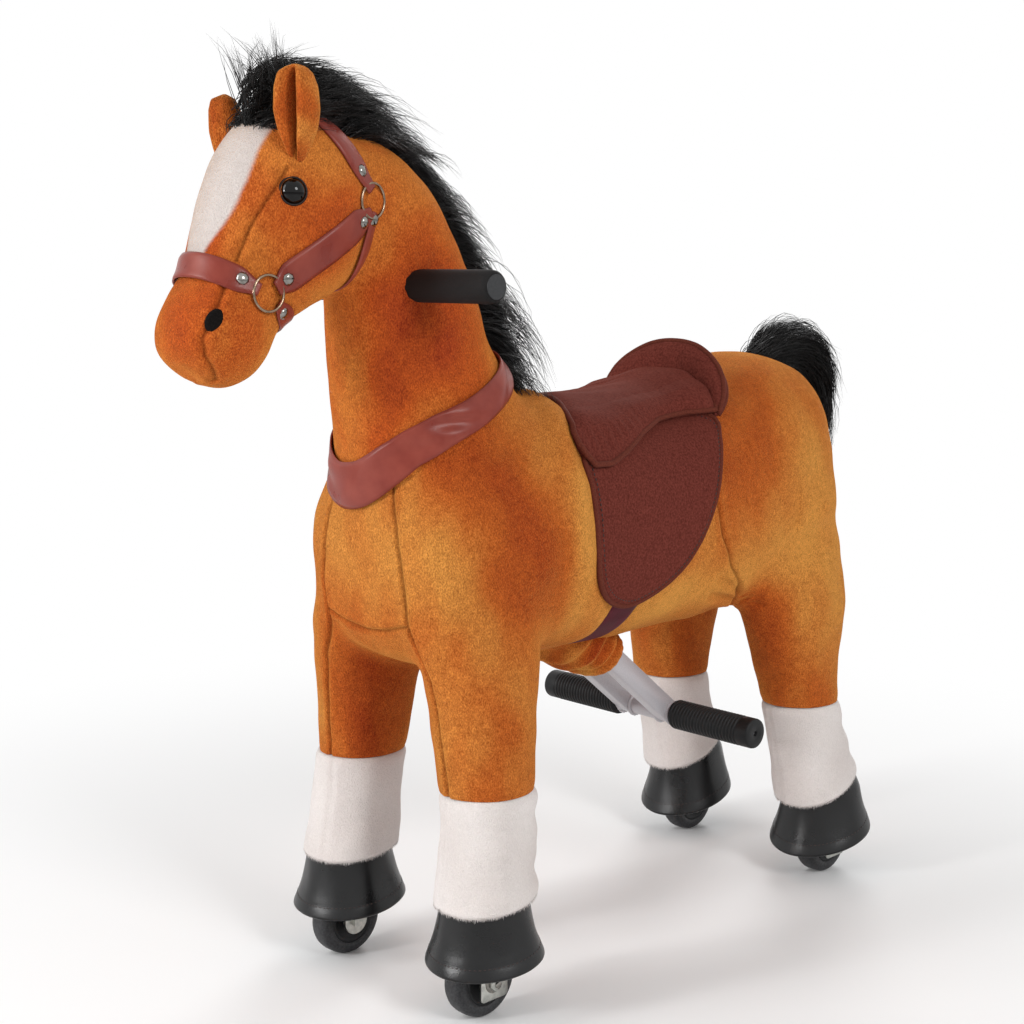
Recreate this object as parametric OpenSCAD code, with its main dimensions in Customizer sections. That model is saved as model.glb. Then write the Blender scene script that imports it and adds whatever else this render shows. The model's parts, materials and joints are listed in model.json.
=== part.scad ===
// Plush ride-on horse on four wheels, in millimetres.
// It faces -Y, its left side is +X, Z is up and the floor is Z = 0.
// The legs and saddle are drawn about the mid point of the wheels, and every sub-part is then moved along Y
// so that the frame's origin lies under the middle of the whole.

/* [Wheels and legs] */
// Diameter of each wheel
wheel_d = 75; // [60:1:100]
// Width of a tyre
tyre_w = 24; // [16:1:34]
// Distance between the left and right wheels
track = 206; // [180:1:240]
// Distance from the wheels' mid point forwards to the front hooves
front_hoof_y = 258; // [220:1:300]
// Distance from the wheels' mid point back to the rear hooves
rear_hoof_y = 286; // [240:1:320]
// Distance of a front wheel's axle ahead of its hoof's middle
front_rake = 6; // [0:1:10]
// Distance of a rear wheel's axle ahead of its hoof's middle
rear_rake = -4; // [-10:1:10]
// Radius of a hoof at its lower rim
hoof_r = 56; // [50:1:62]
// Height of the hoof's rim above the floor
hoof_rim_z = 55; // [48:1:66]
// Height of a hoof
hoof_h = 57; // [48:1:66]
// Distance by which the rear hooves reach lower
rear_hoof_drop = 12; // [0:1:16]
// Thickness of the hoof's imitation leather
hoof_t = 3.5; // [2:0.5:5]
// Height at which sock and brown plush meet
sock_top_z = 210; // [180:1:240]
// Height to which a leg's form runs up inside the body
leg_form_h = 430; // [400:1:450]
// Width of a leg at the hoof
leg_w = 90; // [80:1:100]

/* [Body] */
// Height of the lowest point of the belly above the floor
belly_z = 317; // [290:1:340]
// Length of the body from chest to rump
barrel_l = 649; // [600:1:700]
// Width of the body
barrel_w = 248; // [220:1:280]
// Height of the body from belly to rump
barrel_h = 295; // [270:1:320]
// Distance of the chest ahead of the wheels' mid point
chest_y = 322; // [300:1:340]
// Distance of the flank seam behind the wheels' mid point
flank_y = 125; // [110:1:140]
// Thickness of plush and padding around the inside of the body
cover_t = 13; // [10:1:18]

/* [Neck and head] */
// Distance of the neck's foot ahead of the wheels' mid point
neck_y = 233; // [215:1:250]
// Height of the neck's foot
neck_z = 548; // [530:1:570]
// Height at which the neck turns on the chest, on the steering axis
collar_z = 566; // [550:1:580]
// Height of the neck above its foot
neck_h = 252; // [230:1:270]
// Width of the neck at its foot
neck_w = 172; // [150:1:190]
// Angle by which the steering axis leans forwards
steer_lean = 18; // [15:1:22]
// Angle through which the neck and the front wheels turn to each side
steer_turn = 15; // [10:1:15]
// Distance of the steering axis ahead of the wheels' mid point, at the neck's foot
steer_y = 252; // [244:1:258]
// Distance of the head's middle ahead of the wheels' mid point
head_y = 390; // [370:1:410]
// Height of the head's middle
head_z = 772; // [750:1:790]
// Angle by which the head slopes down
head_pitch = 51.6; // [40:0.2:65]
// Length of the head from poll to muzzle
head_l = 263; // [240:1:290]
// Width of the head at the eyes
head_w = 122; // [110:1:140]
// Depth of the head from forehead to jaw
head_d = 160; // [140:1:180]
// Height of an ear
ear_h = 72; // [55:1:90]
// Radius of an eye
eye_r = 12; // [9:0.5:15]
// Width of the mane's band
mane_w = 46; // [30:1:60]
// Length of the mane along the neck's crest, seen from above
mane_l = 308; // [280:1:330]
// Drop of the mane from forelock to collar
mane_h = 220; // [200:1:240]
// Width of the tail
tail_w = 56; // [40:1:70]
// Reach of the tail behind its root
tail_l = 120; // [90:1:150]
// Height of the tail's fall
tail_h = 128; // [100:1:150]

/* [Saddle and straps] */
// Thickness of the saddle's seat pad
seat_t = 17; // [12:1:24]
// Height of the cantle roll above the plush
cantle_t = 40; // [30:1:50]
// Thickness of the cantle roll at its sides
cantle_side_t = 10; // [8:1:14]
// Thickness of a saddle flap
flap_t = 6; // [4:0.5:9]
// Length of the saddle
saddle_l = 280; // [240:1:310]
// Thickness of halter, collar and girth straps
strap_t = 3; // [2:0.5:5]
// Width of the halter's straps
halter_w = 24; // [18:1:30]
// Width of the collar strap
collar_w = 42; // [30:1:50]
// Width of the girth strap
girth_w = 27; // [24:1:32]
// Radius of a halter ring, to the middle of its wire
ring_r = 12; // [9:0.5:15]
// Radius of the halter rings' wire
ring_wire_r = 1.6; // [1:0.1:2.5]
// Radius of a rivet
rivet_r = 4.5; // [3:0.5:6]

/* [Handles] */
// Radius of a handle grip
grip_r = 15; // [12:0.5:18]
// Length of the grip that a hand holds
grip_l = 90; // [80:1:120]
// Distance from the middle of the neck to the free grip's inner end
grip_in = 70; // [66:1:80]
// Distance of the handlebar above the neck's foot, along the steering axis
handle_up = 134; // [120:1:145]
// Radius of the handlebar tube
handlebar_r = 11; // [8:0.5:12.5]

/* [Pedals] */
// Distance of the pedal pivot ahead of the wheels' mid point
pedal_y = 83; // [75:1:90]
// Distance from pedal pivot back to foot bar
pedal_reach = 178; // [165:1:190]
// Distance from pedal pivot down to foot bar
pedal_drop = 145; // [130:1:160]
// Height of a lever tube's side
lever_h = 34; // [26:1:40]
// Width of a lever tube
lever_w = 16; // [12:1:20]
// Radius of the foot bar
foot_bar_r = 11; // [8:0.5:13]
// Radius of a foot grip over its ribs
foot_grip_r = 16.5; // [14:0.5:20]
// Length of a foot grip
foot_grip_l = 110; // [90:1:130]
// Radius of the hole in a foot grip's end
grip_hole_r = 3; // [2:0.5:4]
// Length of the gathered sleeve along the lever
sleeve_l = 62; // [50:1:75]

/* [Frame and hinge] */
// Distance of the middle hinge behind the wheels' mid point
hinge_y = 70; // [60:1:80]
// Height of the middle hinge and of the pedal pivot
hinge_z = 360; // [350:1:370]
// Angle through which the rear half swings forwards
swing = 12; // [8:1:14]
// Length of the cranks that the drive links join
crank_l = 50; // [40:1:60]
// Radius of the leg tubes
tube_r = 13; // [11:0.5:15]
// Radius of the fork stems
stem_r = 8; // [6:0.5:9]
// Distance from the middle to each fork stem
stem_x = 78; // [72:1:84]
// Distance of the fork stems ahead of the wheels' mid point
stem_y = 250; // [242:1:256]
// Height of the tie plate
tie_z = 385; // [382:1:390]
// Radius of the steering column
column_r = 15; // [12:0.5:17]
// Height of the spine tube's side
spine_h = 30; // [24:1:32]
// Width of the spine and of the seat post
spine_w = 24; // [20:1:28]
// Thickness of the steel plates
plate_t = 8; // [5:0.5:10]

/* [Fits] */
// Radial clearance of a turning pair
run_fit = 0.05; // [0.02:0.01:0.1]
// Gap between soft pieces, and between soft pieces and what holds them
soft_fit = 0.3; // [0.2:0.05:0.6]
// Gap between faces that move past each other
slide_gap = 0.5; // [0.3:0.1:1]
// Radial clearance of the pin that the tilted column drives
float_fit = 2.5; // [2:0.1:4]

/* [Hidden] */
$fn = 48;
// Length by which a cut runs past what it cuts
overrun = 2;
// Height of the saddle from flap end to cantle, and of the seat board's top above the floor
saddle_h = 0.915 * barrel_h;
board_z = belly_z + 0.742 * barrel_h;
// Reach of the blocks that cut a form in two
far = 4 * barrel_l;
wheel_r = wheel_d / 2;
half_track = track / 2;
front_wheel_y = front_hoof_y + front_rake;
rear_wheel_y = rear_hoof_y - rear_rake;
barrel_sides = 24;
neck_sides = 18;
head_sides = 18;
leg_sides = 14;
trim_sides = 12;

// Forms: each row is one ring, given as shares of the form's own sizes.
// A row holds x, y and z of its middle, the tilt of its depth, half width, two half depths and squareness.
barrel_shares = [
  [0, 1, 0.556, 90, 0.202, 0.2, 0.122, 2.4],
  [0, 0.974, 0.521, 90, 0.355, 0.364, 0.223, 2.4],
  [0, 0.924, 0.485, 90, 0.456, 0.488, 0.299, 2.4],
  [0, 0.858, 0.454, 90, 0.5, 0.546, 0.335, 2.4],
  [0, 0.781, 0.417, 90, 0.504, 0.556, 0.346, 2.4],
  [0, 0.681, 0.417, 90, 0.492, 0.481, 0.38, 2.4],
  [0, 0.565, 0.417, 90, 0.484, 0.424, 0.407, 2.4],
  [0, 0.435, 0.417, 90, 0.488, 0.434, 0.417, 2.4],
  [0, 0.304, 0.417, 90, 0.496, 0.481, 0.407, 2.4],
  [0, 0.188, 0.417, 90, 0.5, 0.478, 0.39, 2.4],
  [0, 0.102, 0.417, 90, 0.476, 0.437, 0.366, 2.4],
  [0, 0.039, 0.417, 90, 0.415, 0.353, 0.319, 2.4],
  [0, 0.009, 0.417, 90, 0.315, 0.237, 0.237, 2.3],
  [0, 0, 0.417, 90, 0.177, 0.129, 0.129, 2.2]
];
neck_shares = [
  [0, 0.044, -0.31, 20, 0.547, 0.605, 0.593, 2.2],
  [0, 0, 0, 21, 0.5, 0.558, 0.57, 2.1],
  [0, -0.083, 0.266, 19, 0.43, 0.465, 0.494, 2.1],
  [0, -0.147, 0.544, 18, 0.378, 0.407, 0.436, 2.1],
  [0, -0.23, 0.77, 26, 0.349, 0.337, 0.372, 2.1],
  [0, -0.353, 0.929, 42, 0.314, 0.267, 0.326, 2.1],
  [0, -0.472, 1, 60, 0.244, 0.209, 0.256, 2.1]
];
front_leg_shares = [
  [0.5, 0, 0.221, 0, 0.544, 0.556, 0.556, 2.1],
  [0.481, 0.014, 0.349, 0, 0.478, 0.5, 0.5, 2.1],
  [0.451, 0.028, 0.488, 0, 0.456, 0.478, 0.478, 2.1],
  [0.422, 0.03, 0.64, 0, 0.478, 0.544, 0.544, 2.1],
  [0.408, 0.035, 0.767, 0, 0.522, 0.722, 0.722, 2.1],
  [0.34, 0.06, 0.907, 0, 0.511, 0.844, 0.844, 2.1],
  [0.311, 0.07, 1, 0, 0.444, 0.778, 0.778, 2.1]
];
rear_leg_shares = [
  [0.5, 0, 0.221, 0, 0.539, 0.556, 0.556, 2.1],
  [0.49, -0.037, 0.349, 0, 0.467, 0.5, 0.5, 2.1],
  [0.476, -0.079, 0.488, 0, 0.456, 0.489, 0.489, 2.1],
  [0.461, -0.093, 0.628, 0, 0.5, 0.589, 0.589, 2.1],
  [0.432, -0.093, 0.767, 0, 0.544, 0.8, 0.8, 2.1],
  [0.379, -0.093, 0.907, 0, 0.556, 0.944, 0.944, 2.1],
  [0.34, -0.093, 1.023, 0, 0.489, 0.889, 0.889, 2.1]
];
ear_shares = [
  [0.443, 0, 0, 10, 0.156, 0.208, 0.208, 2],
  [0.459, -0.042, 0.306, 5, 0.18, 0.208, 0.208, 2],
  [0.475, -0.069, 0.625, 0, 0.172, 0.181, 0.181, 2],
  [0.492, -0.083, 0.847, 0, 0.123, 0.139, 0.139, 2],
  [0.5, -0.083, 1, 0, 0.049, 0.069, 0.069, 2]
];
tail_shares = [
  [0, 0, 0, 0, 0.25, 0.25, 0.25, 2],
  [0, 0.242, 0.188, -40, 0.357, 0.357, 0.357, 2],
  [0, 0.558, 0.25, -75, 0.446, 0.393, 0.393, 2],
  [0, 0.842, 0.125, -130, 0.5, 0.411, 0.411, 2],
  [0, 0.975, -0.172, -165, 0.5, 0.411, 0.411, 2],
  [0, 0.992, -0.484, -178, 0.429, 0.339, 0.339, 2],
  [0, 0.975, -0.75, -180, 0.214, 0.196, 0.196, 2]
];
mane_shares = [
  [0, 0, 0, 320, 0.217, 0.217, 0.217, 2],
  [0, 0.052, 0.118, 316, 0.37, 0.348, 0.326, 2],
  [0, 0.143, 0.2, 285, 0.478, 0.522, 0.478, 2],
  [0, 0.279, 0.195, 264, 0.5, 0.565, 0.522, 2],
  [0, 0.425, 0.109, 246, 0.478, 0.565, 0.565, 2],
  [0, 0.578, -0.032, 227, 0.457, 0.522, 0.565, 2],
  [0, 0.727, -0.245, 216, 0.435, 0.478, 0.565, 2],
  [0, 0.844, -0.518, 205, 0.413, 0.435, 0.7, 2],
  [0, 0.935, -0.805, 202, 0.4, 0.391, 0.85, 2],
  [0, 1.02, -0.98, 205, 0.3, 0.239, 0.7, 2]
];
// The head's rows hold the place along its slope, half width and half depths to forehead and to jaw.
head_shares = [
  [-0.266, 0.164, 0.113, 0.138],
  [-0.221, 0.328, 0.269, 0.287],
  [-0.129, 0.459, 0.438, 0.425],
  [0, 0.5, 0.494, 0.531],
  [0.152, 0.475, 0.444, 0.537],
  [0.281, 0.41, 0.362, 0.456],
  [0.395, 0.377, 0.306, 0.344],
  [0.464, 0.377, 0.287, 0.306],
  [0.544, 0.398, 0.3, 0.306],
  [0.631, 0.369, 0.281, 0.281],
  [0.7, 0.279, 0.206, 0.212],
  [0.734, 0.139, 0.106, 0.106]
];
head_squareness = 2.1;

// Ring rows turned into millimetres, from a base point and sizes for x, y, z and depth
function form_rings(shares, base, size) = [
  for (s = shares)
    [
      base[0] + s[0] * size[0], base[1] + s[1] * size[1], base[2] + s[2] * size[2],
      s[3], s[4] * size[0], s[5] * size[3], s[6] * size[3], s[7]
    ]
];
// Value between the rows b and c of a smooth run a, b, c, d
function smooth(a, b, c, d, t) =
  b + t / 2 * ((c - a) + t * ((2 * a - 5 * b + 4 * c - d) + t * (3 * (b - c) + d - a)));
function clamp_row(rows, i) = rows[max(0, min(len(rows) - 1, i))];
// Rows with one more between each two
function finer(rows) = [
  for (i = [0 : len(rows) - 2])
    for (t = [0, 0.5])
      t == 0 ? rows[i]
      : smooth(clamp_row(rows, i - 1), rows[i], rows[i + 1], clamp_row(rows, i + 2), t),
  rows[len(rows) - 1]
];
function spot(r) = [r[0], r[1], r[2]];
function unit(v) = v / norm(v);
// Rings grown outwards by d, the end rings also moved outwards along the form
function grown(rows, d) = [
  for (i = [0 : len(rows) - 1])
    let (
      r = rows[i],
      n = len(rows) - 1,
      out = i == 0 ? unit(spot(rows[0]) - spot(rows[1]))
        : i == n ? unit(spot(rows[n]) - spot(rows[n - 1])) : [0, 0, 0],
      p = spot(r) + d * out
    )
    [p[0], p[1], p[2], r[3], r[4] + d, r[5] + d, r[6] + d, r[7]]
];
function power(v, e) = sign(v) * pow(abs(v), 2 / e);
function ring_points(r, sides) = [
  for (i = [0 : sides - 1])
    let (
      a = 360 * (i + 0.5) / sides,
      u = r[4] * power(cos(a), r[7]),
      v = (sin(a) > 0 ? r[5] : r[6]) * power(sin(a), r[7])
    )
    [r[0] + u, r[1] + v * cos(r[3]), r[2] + v * sin(r[3])]
];
function form_points(rows, sides) = [for (r = rows) each ring_points(r, sides)];
function form_faces(n, sides) = [
  [for (i = [0 : sides - 1]) i],
  for (k = [0 : n - 2])
    for (i = [0 : sides - 1])
      let (j = (i + 1) % sides, a = k * sides, b = a + sides)
        each [[a + i, b + i, b + j], [a + i, b + j, a + j]],
  [for (i = [0 : sides - 1]) n * sides - 1 - i]
];
module form(rows, sides) {
  polyhedron(points = form_points(rows, sides), faces = form_faces(len(rows), sides));
}

cavity_rows = form_rings(barrel_shares, [0, -chest_y, belly_z], [barrel_w, barrel_l, barrel_h, barrel_h]);
barrel_rows = finer(cavity_rows);
neck_rows = finer(form_rings(neck_shares, [0, -neck_y, neck_z], [neck_w, neck_h, neck_h, neck_w]));
slope = [0, -cos(head_pitch), -sin(head_pitch)];
brow = [0, -sin(head_pitch), cos(head_pitch)];
head_mid = [0, -head_y, head_z];
head_rows = finer([
  for (s = head_shares)
    let (p = head_mid + s[0] * head_l * slope)
      [p[0], p[1], p[2], 90 + head_pitch, s[1] * head_w, s[2] * head_d, s[3] * head_d, head_squareness]
]);
ear_y_share = 0.087;
ear_z_share = 0.0363;
ear_base = [0, -head_y * (1 + ear_y_share), head_z * (1 + ear_z_share)];
ear_rows = form_rings(ear_shares, ear_base, [head_w, ear_h, ear_h, ear_h]);
tail_y_share = 0.932;
tail_z_share = 0.946;
tail_base = [0, tail_y_share * barrel_l - chest_y, belly_z + tail_z_share * barrel_h];
tail_rows = finer(form_rings(tail_shares, tail_base, [tail_w, tail_l, tail_h, tail_w]));
mane_y_share = 0.169;
mane_z_share = 0.0648;
mane_base = [0, -head_y * (1 + mane_y_share), head_z * (1 + mane_z_share)];
mane_rows = finer(form_rings(mane_shares, mane_base, [mane_w, mane_l, mane_h, mane_w]));
function leg_rows(shares, y) = form_rings(shares, [0, y, 0], [track, leg_form_h, leg_form_h, leg_w]);
function sized_leg(rows, shares) = [
  for (i = [0 : len(rows) - 1])
    [
      rows[i][0], rows[i][1], rows[i][2], rows[i][3],
      shares[i][4] * leg_w, rows[i][5], rows[i][6], rows[i][7]
    ]
];
front_leg_rows = sized_leg(leg_rows(front_leg_shares, -front_hoof_y), front_leg_shares);
rear_leg_rows = sized_leg(leg_rows(rear_leg_shares, rear_hoof_y), rear_leg_shares);

// Frame: the origin lies midway between muzzle and tail
front_end = min([for (p = form_points(head_rows, head_sides)) p[1]]);
rear_end = max([for (p = form_points(tail_rows, trim_sides)) p[1]]);
frame_shift = -(front_end + rear_end) / 2;

// Head surface: half width of the head at a place along its slope and above its middle line
function head_side(column) = [
  for (s = head_shares) [s[0] * head_l, s[column] * (column == 1 ? head_w : head_d)]
];
function head_half_d(s, e) = lookup(s, head_side(e > 0 ? 2 : 3));
function head_x(s, e) =
  lookup(s, head_side(1)) * pow(1 - pow(abs(e) / head_half_d(s, e), head_squareness), 1 / head_squareness);
function head_out(s, e) =
  unit([head_x(s, e) / pow(lookup(s, head_side(1)), 2), 0, 0] + e / pow(head_half_d(s, e), 2) * brow);
function head_spot(s, e) = head_mid + s * slope + e * brow + [head_x(s, e), 0, 0];

// Steering axis, fork arms and the crank that drives them
steer_foot = [0, -steer_y, collar_z];
function on_axis(w) = steer_foot + w * [0, -sin(steer_lean), cos(steer_lean)];
arm_share = 0.152;
arm_l = arm_share * stem_y;
crank_w = -(collar_z - tie_z + arm_l * sin(steer_lean)) / cos(steer_lean);
crank_pin = on_axis(crank_w) + arm_l * [0, cos(steer_lean), sin(steer_lean)];
head_tube_r = column_r + 7 / 8 * plate_t;
head_tube_l = 0.82 * handle_up;
column_top_share = 1.2;
crank_t = plate_t;
crank_up = 3 * plate_t;
column_low = crank_w + crank_up - overrun / 2;
pin_r = plate_t / 2;
tie_t = 6 / 8 * plate_t;
leg_tube_top = tie_z - 1.5 * tie_t - 2.5 * overrun;
arm_z = tie_z - tie_t / 2 - slide_gap - tie_t;

// Feet
foot_disc_z = hoof_rim_z + 0.65 * hoof_h;
foot_disc_t = 6 / 8 * plate_t;
// Rows below this share of a hoof reach lower at the rear
hoof_flare = 0.2;
hoof_shares = [[0.768, 1], [0.795, 0.79], [0.88, 0.35], [0.955, 0.088], [1, 0]];
function hoof_out(z) =
  hoof_r * lookup((z - hoof_rim_z) / hoof_h, [for (s = hoof_shares) [s[1], s[0]]]);
foot_disc_r = hoof_out(foot_disc_z + foot_disc_t) - hoof_t - soft_fit;
fork_t = 3 / 8 * plate_t;
fork_gap = tyre_w + 6 / 8 * plate_t;
fork_l = 28 / 24 * tyre_w;
fork_top = wheel_d + fork_t + overrun;
axle_r = plate_t / 2;
hub_w = fork_gap - 2 * overrun + 2 * slide_gap;
hub_r = 2 / 3 * wheel_r;
nut_r = 1.6 * axle_r;
nut_h = 1.2 * axle_r;

// Levers, links and plates lie side by side from the middle outwards
barrel_half = spine_w / 2 + plate_t * 0.75;
plate_x = barrel_half + overrun;
link_x = plate_x + plate_t + overrun;
link_t = 6 / 8 * plate_t;
hinge_r = 7 / 8 * plate_t;
pedal_bolt_r = 6 / 8 * plate_t;
boss_r = 2.2 * plate_t;
foot_bar_y = -pedal_y + pedal_reach;
foot_bar_z = hinge_z - pedal_drop;
lever_slant = atan2(pedal_drop, pedal_reach);
lever_len = norm([pedal_reach, pedal_drop]);
lever_start_share = 0.16;
grip_start = plate_x + lever_w + 3 * overrun;
foot_bar_end = grip_start + foot_grip_l - plate_t / 2;
rear_cross_y = 250 / 286 * rear_hoof_y;
rear_cross_z = hinge_z + 0.7 * crank_l;
rear_cross_x = 95 / 103 * half_track;

// Sub-part to draw

// Helpers
module in_frame() {
  translate([0, frame_shift, 0]) children();
}
// A stuffed piece, worked out as one closed mesh
module soft() {
  $fn = 24;
  in_frame() resize([0, 0, 0]) children();
}
module mirrored(side) {
  mirror([side < 0 ? 1 : 0, 0, 0]) children();
}
module both_sides() {
  children();
  mirror([1, 0, 0]) children();
}
module along_axis() {
  translate(steer_foot) rotate([steer_lean, 0, 0]) children();
}
module aim(v) {
  rotate([0, acos(v[2] / norm(v)), atan2(v[1], v[0])]) children();
}
module rod(p, q, r) {
  translate(p) aim(q - p) cylinder(h = norm(q - p), r = r);
}
module across(y, z, x0, x1, r) {
  translate([x0, y, z]) rotate([0, 90, 0]) cylinder(h = x1 - x0, r = r);
}
module hex_across(y, z, x0, x1, r) {
  translate([x0, y, z]) rotate([0, 90, 0]) cylinder(h = x1 - x0, r = r, $fn = 6);
}
// An outline in the side view, given as y and z, drawn from x0 to x1
module side_plate(points, x0, x1) {
  translate([x0, 0, 0]) rotate([90, 0, 90]) linear_extrude(height = x1 - x0) polygon(points);
}
module turned(y, z, a) {
  translate([0, y, z]) rotate([a, 0, 0]) translate([0, -y, -z]) children();
}
module block(x0, x1, y0, y1, z0, z1) {
  translate([x0, y0, z0]) cube([x1 - x0, y1 - y0, z1 - z0]);
}
module above_collar(gap) {
  along_axis() translate([-far / 2, -far / 2, gap]) cube([far, far, far]);
}
module below_collar(gap) {
  along_axis() translate([-far / 2, -far / 2, -gap - far]) cube([far, far, far]);
}
module behind_flank(gap) {
  block(-far, far, flank_y - gap, far, -far, far);
}
module barrel(d) {
  form(grown(barrel_rows, d), barrel_sides);
}
module neck_form(d) {
  form(grown(neck_rows, d), neck_sides);
}
module head_form(d) {
  form(grown(head_rows, d), head_sides);
}
module head_plane() {
  translate(head_mid)
    multmatrix([[0, 0, -1, 0], [slope[1], brow[1], 0, 0], [slope[2], brow[2], 0, 0], [0, 0, 0, 1]])
      children();
}
// A straight band in the head's side view, through two places on it
module head_band(p, q, w, before, after) {
  head_plane() translate([p[0], p[1], -far / 2]) rotate([0, 0, atan2(q[1] - p[1], q[0] - p[0])])
    translate([-before, -w / 2, 0]) cube([norm(q - p) + before + after, w, far]);
}

// Frame of the front half
module front_foot(side) {
  mirrored(side) {
    difference() {
      union() {
        translate([half_track, -front_hoof_y, foot_disc_z]) cylinder(h = foot_disc_t, r = foot_disc_r);
        translate([stem_x, -stem_y, foot_disc_z]) cylinder(h = leg_tube_top - foot_disc_z, r = tube_r);
      }
      translate([stem_x, -stem_y, foot_disc_z - overrun])
        cylinder(h = leg_tube_top - foot_disc_z + 2 * overrun, r = stem_r + run_fit);
    }
  }
}
gusset_shares = [[1.048, 0.99], [0.944, 0.99], [0.944, 1.25], [0.89, 1.34], [0.97, 1.5], [1.048, 1.46]];
module front_frame() {
  in_frame() color("dimgray") {
    difference() {
      union() {
        front_foot(1);
        front_foot(-1);
        across(-stem_y, hinge_z, -stem_x, stem_x, 0.85 * tube_r);
        block(-spine_w / 2, spine_w / 2, -stem_y, hinge_y, hinge_z - spine_h / 2, hinge_z + spine_h / 2);
        across(hinge_y, hinge_z, -barrel_half, barrel_half, boss_r);
        block(-spine_w / 2, spine_w / 2, -spine_w / 2, spine_w, hinge_z, board_z - plate_t - foot_disc_t);
        block(-spine_w, spine_w, -spine_w - plate_t, 2 * spine_w - plate_t / 2,
          board_z - plate_t - foot_disc_t, board_z - plate_t);
        side_plate([for (s = gusset_shares) [-s[0] * stem_y, s[1] * hinge_z]], -plate_t / 2, plate_t / 2);
        along_axis() translate([0, 0, -head_tube_l]) cylinder(h = head_tube_l - slide_gap, r = head_tube_r);
      }
      along_axis() translate([0, 0, -head_tube_l - overrun - plate_t])
        cylinder(h = head_tube_l + plate_t + 2 * overrun, r = column_r + run_fit);
      for (s = [-1, 1])
        translate([s * stem_x, -stem_y, foot_disc_z - overrun])
          cylinder(h = leg_tube_top, r = stem_r + run_fit);
      across(hinge_y, hinge_z, -far, far, hinge_r + plate_t / 2);
      across(-pedal_y, hinge_z, -far, far, pedal_bolt_r + run_fit);
      for (x = [-1, 1])
        for (y = [-1, 2])
          translate([x * spine_w * 2 / 3, y * spine_w * 0.8, board_z - plate_t - foot_disc_t - overrun])
            cylinder(h = foot_disc_t + 2 * overrun, r = bolt_r + run_fit);
    }
  }
}
bolt_r = 3 / 8 * plate_t;
board_w_share = 0.44;
board_l_share = 0.3;
module seat_board() {
  in_frame() color("burlywood") difference() {
    block(-board_w_share * barrel_w / 2, board_w_share * barrel_w / 2, -board_l_share * barrel_l / 2,
      board_l_share * barrel_l / 2, board_z - plate_t, board_z);
    for (x = [-1, 1])
      for (y = [-1, 2])
        translate([x * spine_w * 2 / 3, y * spine_w * 0.8, board_z - plate_t - overrun])
          cylinder(h = plate_t + 2 * overrun, r = bolt_r + run_fit);
  }
}
module seat_bolts() {
  in_frame() color("silver")
    for (x = [-1, 1])
      for (y = [-1, 2])
        translate([x * spine_w * 2 / 3, y * spine_w * 0.8, board_z - plate_t - foot_disc_t]) {
          cylinder(h = plate_t + foot_disc_t, r = bolt_r);
          translate([0, 0, -nut_h / 2]) cylinder(h = nut_h / 2, r = 2 * bolt_r, $fn = 6);
        }
}
module hinge_bush() {
  in_frame() color("khaki") difference() {
    across(hinge_y, hinge_z, -barrel_half, barrel_half, hinge_r + plate_t / 2);
    across(hinge_y, hinge_z, -far, far, hinge_r + run_fit);
  }
}
module pivot_bolts() {
  in_frame() color("silver")
    for (b = [[hinge_y, hinge_r], [-pedal_y, pedal_bolt_r]]) {
      across(b[0], hinge_z, -plate_x - plate_t - slide_gap, plate_x + plate_t + slide_gap, b[1]);
      hex_across(b[0], hinge_z, plate_x + plate_t + slide_gap, link_x + link_t, 1.6 * b[1]);
      hex_across(b[0], hinge_z, -link_x - link_t, -plate_x - plate_t - slide_gap, 1.6 * b[1]);
    }
}

// Plush and padding of the front half
module body_form(d) {
  barrel(d);
  difference() {
    neck_form(d);
    above_collar(0);
  }
}
slot_x_share = 0.355;
slot_front = pedal_y * 1.02;
slot_rear = -pedal_y * 0.04;
module torso_cover() {
  color("sienna") soft() difference() {
    body_form(0);
    above_collar(-slide_gap / 2);
    behind_flank(slide_gap);
    turned(hinge_y, hinge_z, -swing) behind_flank(slide_gap);
    turned(hinge_y, hinge_z, -swing / 2) behind_flank(slide_gap);
    intersection() {
      form(grown(cavity_rows, -cover_t), trim_sides + 4);
      block(-far, far, -far, far, -far, board_z);
    }
    along_axis() translate([0, 0, -head_tube_l]) cylinder(h = far, r = head_tube_r + soft_fit);
    both_sides() arm_room();
    across(-stem_y, hinge_z, -stem_x, stem_x, 0.85 * tube_r + slide_gap);
    block(-spine_w / 2 - soft_fit, spine_w / 2 + soft_fit, -gusset_shares[0][0] * stem_y - soft_fit, 0,
      hinge_z - spine_h / 2 - soft_fit, hinge_z + spine_h);
    block(-slot_x_share * barrel_w / 2, slot_x_share * barrel_w / 2, -slot_front, slot_rear, 0, hinge_z);
  }
}
// Room for a fork's stem and for its arm as it turns
module arm_room() {
  translate([stem_x, -stem_y, 0]) {
    cylinder(h = arm_z + 4 * tie_t, r = tube_r + soft_fit);
    hull()
      for (p = [[0, 0], for (a = [-steer_turn, 0, steer_turn]) arm_l * [-sin(a), cos(a)]])
        translate([p[0], p[1], arm_z - 2 * slide_gap])
          cylinder(h = 4 * tie_t, r = stem_r + slide_gap + soft_fit, $fn = 12);
  }
}
module leg_tube_room(rear) {
  if (rear)
    rear_steel(soft_fit);
  else
    translate([stem_x, -stem_y, 0]) cylinder(h = far, r = tube_r + soft_fit);
}
module leg_plush(rows, rear) {
  difference() {
    form(rows, leg_sides);
    block(-far, far, -far, far, -far, sock_top_z + soft_fit);
    barrel(soft_fit);
    leg_tube_room(rear);
  }
}
module leg_sock(rows, hoof_y, rear) {
  difference() {
    form(grown(rows, soft_fit), leg_sides);
    block(-far, far, -far, far, sock_top_z, far);
    translate([half_track, hoof_y, 0]) hoof_outside(2 * soft_fit);
    leg_tube_room(rear);
  }
}
module front_left_leg() { color("sienna") soft() leg_plush(front_leg_rows, false); }
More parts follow.
